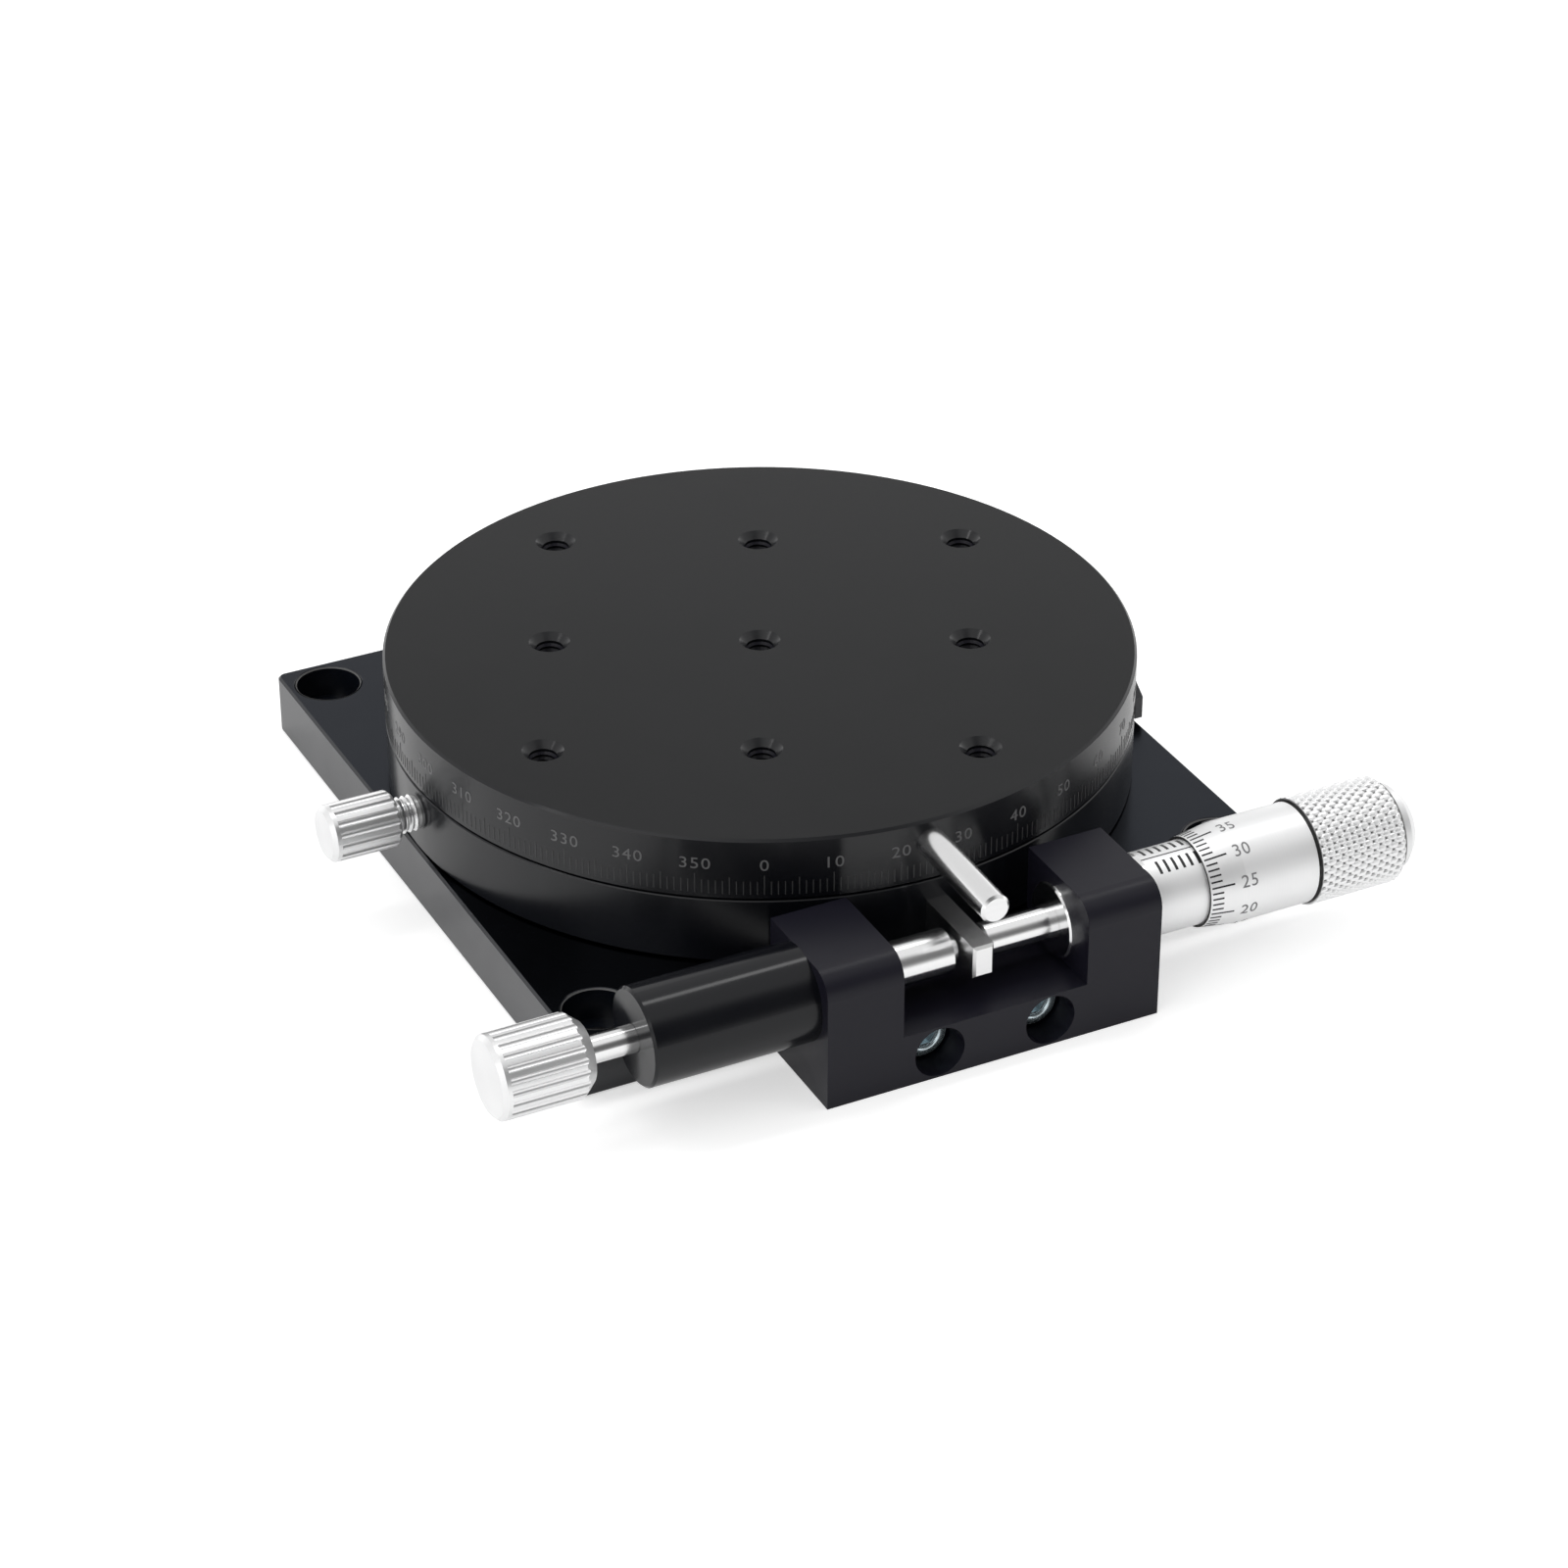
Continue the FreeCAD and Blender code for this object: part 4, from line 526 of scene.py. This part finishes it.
straight = dash_pattern("straight dash", cuts=0)
curved = dash_pattern("curved dash", cuts=3)

# Scale of the table, all round its rim.
RIM_RADIUS = 44.75
LINE_FOOT_Z, LINE_WIDE = 16.9, 0.13
TENTH_LINE_TOP, FIFTH_LINE_TOP, LINE_TOP = 19.4, 19.1, 18.6
NUMBER_Z, NUMBER_WIDE, NUMBER_HIGH = 20.75, 1.6, 1.42


def on_rim(degrees, along, up, out):
    """A point on the table's rim, by its degree, its way along the rim, up, and out of the surface."""
    angle = math.radians(SCALE_TURN + degrees) + along / RIM_RADIUS
    radius = RIM_RADIUS + out
    return Vector((radius * math.sin(angle), -radius * math.cos(angle), up)) * MM


def rim_line(mark):
    top = TENTH_LINE_TOP if mark % 10 == 0 else FIFTH_LINE_TOP if mark % 5 == 0 else LINE_TOP
    return moved_copy(straight, lambda p: on_rim(
        mark, p.y * LINE_WIDE, LINE_FOOT_Z + p.x * (top - LINE_FOOT_Z), out_of_surface(p.z)))


def rim_number(mark):
    pattern = number_pattern(str(mark))
    number = moved_copy(pattern, lambda p: on_rim(
        mark, p.x * NUMBER_WIDE, NUMBER_Z + p.y * NUMBER_HIGH, out_of_surface(p.z)))
    bpy.data.objects.remove(pattern)
    return number


rim_lines = as_one([rim_line(mark) for mark in range(360)], "degree_lines")
face_outwards(rim_lines)
rim_lines.data.materials.append(line_paint)
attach(rim_lines, "table")

rim_numbers = as_one([rim_number(mark) for mark in range(0, 360, 10)], "degree_numbers")
rim_numbers.data.materials.append(number_paint)
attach(rim_numbers, "table")

# Scale of the thimble, on its bevel and just beyond, turned to what the photograph reads.
BEVEL_LEFT, BEVEL_LONG = 28.5, 4.5
BEVEL_RADIUS, THIMBLE_RADIUS = 5.35, 6.0
THIMBLE_MARKS, MARK_READ, MARK_READ_ANGLE = 50, 25, 20
THIMBLE_LINE_LEFT, THIMBLE_LINE_RIGHT, FIFTH_THIMBLE_LINE_RIGHT = 28.75, 30.1, 31.5
THIMBLE_LINE_WIDE, THIMBLE_LINE_RADIUS = 0.2, 5.6
THIMBLE_NUMBER_X, THIMBLE_NUMBER_LONG, THIMBLE_NUMBER_HIGH = 33.4, 1.45, 1.5


def on_drive(x, angle, radius):
    """A point round the drive axis, at an angle from the front towards the top."""
    turn = math.radians(angle)
    return Vector((x, DRIVE_Y - radius * math.cos(turn), DRIVE_Z + radius * math.sin(turn))) * MM


def on_thimble(mark, x, aside, unit):
    """A point on the thimble's scale, by its mark, its place on X, its turn aside and its way up the mark."""
    angle = MARK_READ_ANGLE + (mark - MARK_READ) * 360 / THIMBLE_MARKS + math.degrees(aside)
    share = min(max((x - BEVEL_LEFT) / BEVEL_LONG, 0.0), 1.0)
    surface = BEVEL_RADIUS + (THIMBLE_RADIUS - BEVEL_RADIUS) * share
    return on_drive(x, angle, surface + out_of_surface(unit))


def thimble_line(mark):
    right = THIMBLE_LINE_RIGHT if mark % 5 else FIFTH_THIMBLE_LINE_RIGHT
    return moved_copy(straight, lambda p: on_thimble(
        mark, THIMBLE_LINE_LEFT + p.x * (right - THIMBLE_LINE_LEFT),
        p.y * THIMBLE_LINE_WIDE / THIMBLE_LINE_RADIUS, p.z))


def thimble_number(mark):
    bevel_end = (BEVEL_LEFT + BEVEL_LONG - THIMBLE_NUMBER_X) / THIMBLE_NUMBER_LONG
    pattern = cut_up(number_pattern(str(mark)), across=(bevel_end,), around=(-0.3, -0.1, 0.1, 0.3))
    number = moved_copy(pattern, lambda p: on_thimble(
        mark, THIMBLE_NUMBER_X + p.x * THIMBLE_NUMBER_LONG, p.y * THIMBLE_NUMBER_HIGH / THIMBLE_RADIUS, p.z))
    bpy.data.objects.remove(pattern)
    return number


thimble_marks = as_one([thimble_line(mark) for mark in range(THIMBLE_MARKS)], "thimble_scale")
thimble_marks.data.materials.append(black_paint)
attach(thimble_marks, "thimble_unit")

thimble_numbers = as_one([thimble_number(mark) for mark in range(0, THIMBLE_MARKS, 5)], "thimble_numbers")
thimble_numbers.data.materials.append(grey_paint)
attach(thimble_numbers, "thimble_unit")

# Scale of the sleeve: a line along it, whole millimetres in front of the line and half ones behind it.
SLEEVE_RADIUS = 5.0
LONG_LINE_LEFT, LONG_LINE_LONG, LONG_LINE_ANGLE, LONG_LINE_WIDE = 21.95, 12.0, 85, 0.15
WHOLE_LINES_LEFT, WHOLE_LINE_ANGLES = 23.4, (76, 56)
HALF_LINES_LEFT, HALF_LINE_ANGLES = 22.9, (93, 112)
SLEEVE_STEPS, SLEEVE_LINE_WIDE = 9, 0.34


def on_sleeve(x, angle, unit):
    """A point on the sleeve's scale, by its place on X, its angle and its way up the mark."""
    return on_drive(x, angle, SLEEVE_RADIUS + FINE_MARK_FOOT + unit * FINE_MARK_HIGH)


def sleeve_line(x, angles):
    start, end = angles
    return moved_copy(curved, lambda p: on_sleeve(
        x + p.y * SLEEVE_LINE_WIDE, start + p.x * (end - start), p.z))


sleeve_lines = [moved_copy(straight, lambda p: on_sleeve(
    LONG_LINE_LEFT + p.x * LONG_LINE_LONG,
    LONG_LINE_ANGLE + math.degrees(p.y * LONG_LINE_WIDE / SLEEVE_RADIUS), p.z))]
for step in range(SLEEVE_STEPS):
    sleeve_lines.append(sleeve_line(WHOLE_LINES_LEFT + step, WHOLE_LINE_ANGLES))
    sleeve_lines.append(sleeve_line(HALF_LINES_LEFT + step, HALF_LINE_ANGLES))
sleeve_marks = as_one(sleeve_lines, "sleeve_scale")
face_outwards(sleeve_marks)
sleeve_marks.data.materials.append(black_paint)
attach(sleeve_marks, "base")

# Index line on the index plate's outer face.
INDEX_FACE_X = 46.0
INDEX_LINE_FOOT_Z, INDEX_LINE_HIGH, INDEX_LINE_WIDE = 12.6, 3.2, 0.2
index_line = spread(straight, "index_line", [INDEX_FACE_X + MARK_FOOT], lambda p, x: (
    x + p.z * FINE_MARK_HIGH, p.y * INDEX_LINE_WIDE, INDEX_LINE_FOOT_Z + p.x * INDEX_LINE_HIGH))
face_outwards(index_line)
index_line.data.materials.append(white_paint)
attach(index_line, "base")
bpy.data.objects.remove(curved)


# Diamond knurl of the thimble: a grid rolled into a tube, crossed by two sets of grooves.
KNURL_LEFT, KNURL_RIGHT, KNURL_RADIUS, KNURL_BORE = 42.92, 54.5, 6.4, 5.3
KNURL_COLUMNS, KNURL_ROWS, END_COLUMNS, GROOVE_STEPS = 58, 296, 3, 8
END_ROUND_DEEP, LIP_DEEP, CAP_END_DEEP, CAP_END_LONG = 0.35, 0.08, 0.6, 0.3
GROOVES_START, PLAIN_LENGTH = 0.1, 0.7

# How deep a point lies, by its steps from the nearest groove of each set.
GROOVE_DEPTHS = {(0, 0): 0.34, (0, 2): 0.20, (0, 4): 0.12, (1, 1): 0.18, (1, 3): 0.05,
                 (2, 2): 0.04, (2, 4): 0.01, (3, 3): 0.0, (4, 4): 0.0}


def groove_depth(column, row):
    steps = [place % GROOVE_STEPS for place in (column + row, column - row)]
    return GROOVE_DEPTHS[tuple(sorted(min(step, GROOVE_STEPS - step) for step in steps))]


def diamond_knurl():
    bpy.ops.object.select_all(action="DESELECT")
    bpy.ops.mesh.primitive_grid_add(x_subdivisions=KNURL_COLUMNS, y_subdivisions=KNURL_ROWS, size=1.0,
                                    location=(0, 0, 0))
    knurl = settle(new_piece("thimble_knurl"))
    shape = bmesh.new()
    shape.from_mesh(knurl.data)
    columns = sorted({round(v.co.x, 5) for v in shape.verts})
    rows = sorted({round(v.co.y, 5) for v in shape.verts})
    column_of = {x: i for i, x in enumerate(columns)}
    row_of = {y: j for j, y in enumerate(rows)}
    last = len(columns) - 1
    left_end = [(KNURL_LEFT, KNURL_BORE), (KNURL_LEFT, KNURL_RADIUS - END_ROUND_DEEP),
                (KNURL_LEFT, KNURL_RADIUS - LIP_DEEP)]
    right_end = [(KNURL_RIGHT - CAP_END_LONG, KNURL_RADIUS - END_ROUND_DEEP),
                 (KNURL_RIGHT, KNURL_RADIUS - CAP_END_DEEP), (KNURL_RIGHT, KNURL_BORE)]
    even = set()
    for v in shape.verts:
        i, j = column_of[round(v.co.x, 5)], row_of[round(v.co.y, 5)]
        if i < END_COLUMNS:
            x, radius = left_end[i]
        elif i > last - END_COLUMNS:
            x, radius = right_end[i - last - 1]
        else:
            share = (i - END_COLUMNS) / (last - 2 * END_COLUMNS)
            x = KNURL_LEFT + GROOVES_START + share * (KNURL_RIGHT - KNURL_LEFT - PLAIN_LENGTH)
            radius = KNURL_RADIUS - groove_depth(i, j)
            if (i + j) % 2 == 0:
                even.add(v)
        v.co = on_drive(x, 360.0 * j / (len(rows) - 1), radius)
    for face in list(shape.faces):
        corners = [v for v in face.verts if v in even]
        if len(corners) == 2 and len(face.verts) == 4:
            bmesh.utils.face_split(face, corners[0], corners[1])
    shape.to_mesh(knurl.data)
    shape.free()
    edit_all(knurl, bpy.ops.mesh.remove_doubles, threshold=1e-6)
    face_outwards(knurl)
    return knurl


knurl = diamond_knurl()
knurl.data.materials.append(knurl_chrome)
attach(knurl, "thimble_unit")
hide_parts("thimble_grip")


# Thread ridges of the tapped holes and of the clamp screw's neck.
RIDGE_SHARE_OF_PITCH = 0.8


def turned_skin(name, path, sides):
    """An open skin round Z, through points of radius and height. A path that rises faces away from Z."""
    bpy.ops.object.select_all(action="DESELECT")
    bpy.ops.mesh.primitive_circle_add(vertices=sides, radius=path[0][0], location=(0, 0, path[0][1]))
    skin = settle(new_piece(name))
    bpy.ops.object.mode_set(mode="EDIT")
    bpy.ops.mesh.select_mode(type="EDGE")
    bpy.ops.mesh.select_all(action="SELECT")
    for start, end in zip(path, path[1:]):
        bpy.ops.mesh.extrude_region_move(TRANSFORM_OT_translate={"value": (0, 0, end[1] - start[1])})
        bpy.ops.transform.resize(value=(end[0] / start[0], end[0] / start[0], 1.0))
    bpy.ops.object.mode_set(mode="OBJECT")
    return skin


def thread(name, wall, crest, pitch, turns, sides):
    """A thread's ridge from the wall to the crest and back, repeated along Z."""
    wide = pitch * RIDGE_SHARE_OF_PITCH
    ring = turned_skin(name, [(wall, 0), (crest, wide / 2), (wall, wide)], sides)
    rows = ring.modifiers.new("turns", "ARRAY")
    rows.count = turns
    rows.use_relative_offset = False
    rows.use_constant_offset = True
    rows.constant_offset_displace = (0, 0, pitch)
    finish_modifier(ring, "turns")
    return ring


HOLE_PITCH, HOLE_THREAD_Z = 25, 19.5
turn = math.radians(HOLES_TURN)
holes = [(column * math.cos(turn) - row * math.sin(turn), column * math.sin(turn) + row * math.cos(turn))
         for column in (-HOLE_PITCH, 0, HOLE_PITCH) for row in (-HOLE_PITCH, 0, HOLE_PITCH)]
hole_thread = thread("hole thread", wall=1.66, crest=1.42, pitch=0.7, turns=5, sides=24)
edit_all(hole_thread, bpy.ops.mesh.flip_normals)
ridges = spread(hole_thread, "hole_threads", holes, lambda p, hole: (
    hole[0] + p.x, hole[1] + p.y, HOLE_THREAD_Z + p.z))
ridges.data.materials.append(black_block)
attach(ridges, "table")

NECK_THREAD_X, CLAMP_Z = -47.73, 12.5
neck_thread = thread("neck thread", wall=1.93, crest=2.2, pitch=0.7, turns=4, sides=32)
neck = spread(neck_thread, "clamp_screw_thread", [NECK_THREAD_X], lambda p, x: (
    x + p.z, p.x, CLAMP_Z + p.y))
face_outwards(neck)
neck.data.materials.append(polished_steel)
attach(neck, "clamp_knob")

# Rounded edges of the two cap screw heads in the bracket.
HEAD_EDGE_RADIUS, HEAD_EDGE_THICK, HEAD_EDGE_FLATTEN = 2.1, 0.56, 0.6
BRACKET_SCREW_XS, BRACKET_HEAD_Y, BRACKET_SCREW_Z = (-7, 7), -55.14, 3.35
bpy.ops.object.select_all(action="DESELECT")
bpy.ops.mesh.primitive_torus_add(major_radius=HEAD_EDGE_RADIUS, minor_radius=HEAD_EDGE_THICK,
                                 major_segments=48, minor_segments=12, location=(0, 0, 0),
                                 rotation=(math.radians(90), 0, 0))
bpy.context.object.scale = (1.0, 1.0, HEAD_EDGE_FLATTEN)
edge = settle(new_piece("screw edge"))
edge.data.shade_smooth()
heads = spread(edge, "bracket_screw_edges", BRACKET_SCREW_XS, lambda p, x: (
    x + p.x, BRACKET_HEAD_Y + p.y, BRACKET_SCREW_Z + p.z))
heads.data.materials.append(zinc_plate)
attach(heads, "base")

# Screws with a hexagon socket: two button heads in the index plate and four cap heads under the base.


def socket_screw(name, head_wide, head_high, edge, shank_wide, shank_long, flats, deep):
    """A screw on Z with its head's seat at zero. Edge is its head's radius, and flats its key's size."""
    bpy.ops.object.select_all(action="DESELECT")
    bpy.ops.mesh.primitive_cylinder_add(vertices=48, radius=head_wide / 2, depth=head_high,
                                        location=(0, 0, head_high / 2))
    screw = settle(new_piece(name))
    pick_faces(screw, lambda face: face.normal.z > 0.9)
    bpy.ops.mesh.bevel(offset=edge, segments=5, affect="EDGES")
    bpy.ops.object.mode_set(mode="OBJECT")
    pick_faces(screw, lambda face: face.normal.z < -0.9)
    bpy.ops.mesh.inset(thickness=(head_wide - shank_wide) / 2)
    bpy.ops.mesh.extrude_region_move(TRANSFORM_OT_translate={"value": (0, 0, -shank_long)})
    bpy.ops.object.mode_set(mode="OBJECT")
    bpy.ops.object.select_all(action="DESELECT")
    bpy.ops.mesh.primitive_cylinder_add(vertices=6, radius=flats / math.sqrt(3), depth=2 * deep,
                                        location=(0, 0, head_high))
    key = settle(new_piece(name + " socket"))
    socket = screw.modifiers.new("socket", "BOOLEAN")
    socket.operation = "DIFFERENCE"
    socket.object = key
    finish_modifier(screw, "socket")
    bpy.data.objects.remove(key)
    bpy.ops.object.shade_smooth_by_angle(angle=math.radians(35))
    return screw


BUTTON_YS, BUTTON_Z = (-4.5, 4.5), 4.6
CAP_SEAT_Z, CAP_SIDES = 3.4, (-9.9, 9.9)
button = socket_screw("button screw", head_wide=4.5, head_high=1.3, edge=0.7, shank_wide=2.5, shank_long=5.6,
                      flats=1.5, deep=0.8)
buttons = spread(button, "index_button_screws", BUTTON_YS, lambda p, y: (
    INDEX_FACE_X + p.z, y + p.x, BUTTON_Z + p.y))
cap = socket_screw("cap screw", head_wide=5.5, head_high=3.0, edge=0.25, shank_wide=3.0, shank_long=10.8,
                   flats=2.5, deep=1.5)
caps = spread(cap, "hub_cap_screws", [(x, y) for x in CAP_SIDES for y in CAP_SIDES], lambda p, at: (
    at[0] + p.x, at[1] - p.y, CAP_SEAT_Z - p.z))
for screws, node in ((buttons, "index_screws"), (caps, "hub_screws")):
    screws.data.materials.append(zinc_plate)
    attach(screws, "base")
    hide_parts(node)

# Broken edges of the corner counterbores: a sloped band inside each top edge, with a thin body behind it,
# painted pale grey as a highlight along the edge.
BAND_LOW, BAND_HIGH = (3.9, 7.56), (4.04, 7.705)
CORNER_SIDES = (-40, 40)
band = turned_skin("hole edge", [BAND_LOW, BAND_HIGH, (BAND_HIGH[0], BAND_LOW[1])], sides=64)
face_outwards(band)
corners = [(x, y) for x in CORNER_SIDES for y in CORNER_SIDES]
edges = spread(band, "corner_hole_edges", corners, lambda p, at: (at[0] + p.x, at[1] + p.y, p.z))
edges.data.materials.append(painted_edge_highlight)
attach(edges, "base")

# Camera at the photograph's place, in metres.
CAMERA_PLACE, CAMERA_AIM = (-0.20816, -0.42295, 0.29270), (-0.01212, -0.03063, 0.02404)
CAMERA_LENS, CAMERA_SENSOR, CAMERA_ROLL = 104.78, 36.0, -0.06
camera_data = bpy.data.cameras.new("camera")
camera_data.lens = CAMERA_LENS
camera_data.sensor_width = CAMERA_SENSOR
camera_data.clip_start = 0.01
camera = bpy.data.objects.new("camera", camera_data)
bpy.context.scene.collection.objects.link(camera)
camera.location = CAMERA_PLACE
aim = Vector(CAMERA_AIM) - camera.location
camera.rotation_euler = aim.to_track_quat("-Z", "Y").to_euler()
camera.rotation_euler.rotate_axis("Z", math.radians(CAMERA_ROLL))
bpy.context.scene.camera = camera

# Pale floor that keeps the shadow. Its glow is added to its grey for the camera, and a little for gloss.
FLOOR_WIDE, FLOOR_Z = 6.0, -0.00002
FLOOR_GREY, GLOW_TO_CAMERA, GLOW_TO_GLOSS = 0.78, 0.55, 0.32
WHITE = (1.0, 1.0, 1.0, 1.0)


def white_floor():
    material = bpy.data.materials.new("white floor")
    material.use_nodes = True
    tree = material.node_tree
    tree.nodes.clear()
    path = add_node(tree, "ShaderNodeLightPath", {})
    in_gloss = calculate(tree, "MULTIPLY", path.outputs["Is Glossy Ray"], GLOW_TO_GLOSS)
    level = calculate(tree, "MULTIPLY_ADD", path.outputs["Is Camera Ray"], GLOW_TO_CAMERA, in_gloss)
    matte = add_node(tree, "ShaderNodeBsdfDiffuse", {"Color": (FLOOR_GREY, FLOOR_GREY, FLOOR_GREY, 1.0)})
    glow = add_node(tree, "ShaderNodeEmission", {"Color": WHITE, "Strength": level})
    both = add_node(tree, "ShaderNodeAddShader", {0: matte.outputs["BSDF"], 1: glow.outputs["Emission"]})
    add_node(tree, "ShaderNodeOutputMaterial", {"Surface": both.outputs["Shader"]})
    return material


bpy.ops.object.select_all(action="DESELECT")
bpy.ops.mesh.primitive_plane_add(size=FLOOR_WIDE, location=(0, 0, FLOOR_Z))
floor = settle(new_piece("floor"))
floor.data.materials.append(white_floor())

# Studio: white to the camera, a pale horizon and a dimmer ceiling to the object, dark behind the camera.
ROOM_LEVELS = ((0.05, 1.4), (0.32, 0.86), (0.66, 0.80), (0.88, 0.90))
DARK_WAY, DARK_FROM, DARK_FULL, DARK_LEVEL = (0.0, -0.90, 0.436), 0.74, 0.93, 0.14
LAMP_AIM = (0.0, 0.0, 0.01)


def studio():
    """The world. Room levels are heights from the horizon at 0 to the zenith at 1, each with its strength."""
    world = bpy.data.worlds.new("studio")
    world.use_nodes = True
    tree = world.node_tree
    tree.nodes.clear()
    way = add_node(tree, "ShaderNodeTexCoord", {}).outputs["Generated"]
    parts = add_node(tree, "ShaderNodeSeparateXYZ", {"Vector": way})
    height = add_node(tree, "ShaderNodeValToRGB", {"Fac": parts.outputs["Z"]})
    height.color_ramp.interpolation = "EASE"
    stops = height.color_ramp.elements
    for at, level in ROOM_LEVELS:
        stop = stops.new(at)
        stop.color = (level, level, level, 1.0)
    stops.remove(stops[-1])
    stops.remove(stops[0])
    towards = add_node(tree, "ShaderNodeVectorMath", {0: way, 1: DARK_WAY}, operation="DOT_PRODUCT")
    dark = add_node(tree, "ShaderNodeMapRange", {
        "Value": towards.outputs["Value"], "From Min": DARK_FROM, "From Max": DARK_FULL,
        "To Min": 1.0, "To Max": DARK_LEVEL}, interpolation_type="SMOOTHSTEP")
    strength = calculate(tree, "MULTIPLY", height.outputs["Color"], dark.outputs["Result"])
    room = add_node(tree, "ShaderNodeBackground", {"Color": WHITE, "Strength": strength})
    back = add_node(tree, "ShaderNodeBackground", {"Color": WHITE, "Strength": 1.0})
    path = add_node(tree, "ShaderNodeLightPath", {})
    seen = add_node(tree, "ShaderNodeMixShader", {
        "Fac": path.outputs["Is Camera Ray"], 1: room.outputs["Background"], 2: back.outputs["Background"]})
    add_node(tree, "ShaderNodeOutputWorld", {"Surface": seen.outputs["Shader"]})
    return world


def softbox(name, place, size, watts):
    """A rectangular lamp that points at the middle of the stage."""
    light = bpy.data.lights.new(name, "AREA")
    light.shape = "RECTANGLE"
    light.size, light.size_y = size
    light.energy = watts
    box = bpy.data.objects.new(name, light)
    bpy.context.scene.collection.objects.link(box)
    box.location = place
    box.rotation_euler = (Vector(LAMP_AIM) - box.location).to_track_quat("-Z", "Y").to_euler()
    box.visible_camera = False


bpy.context.scene.world = studio()
softbox("overhead softbox", place=(0.0, 0.18, 0.85), size=(1.6, 0.12), watts=2.2)
softbox("left softbox", place=(-0.8, -0.35, 0.55), size=(0.5, 0.5), watts=0.9)

bpy.context.scene.view_settings.view_transform = "Standard"
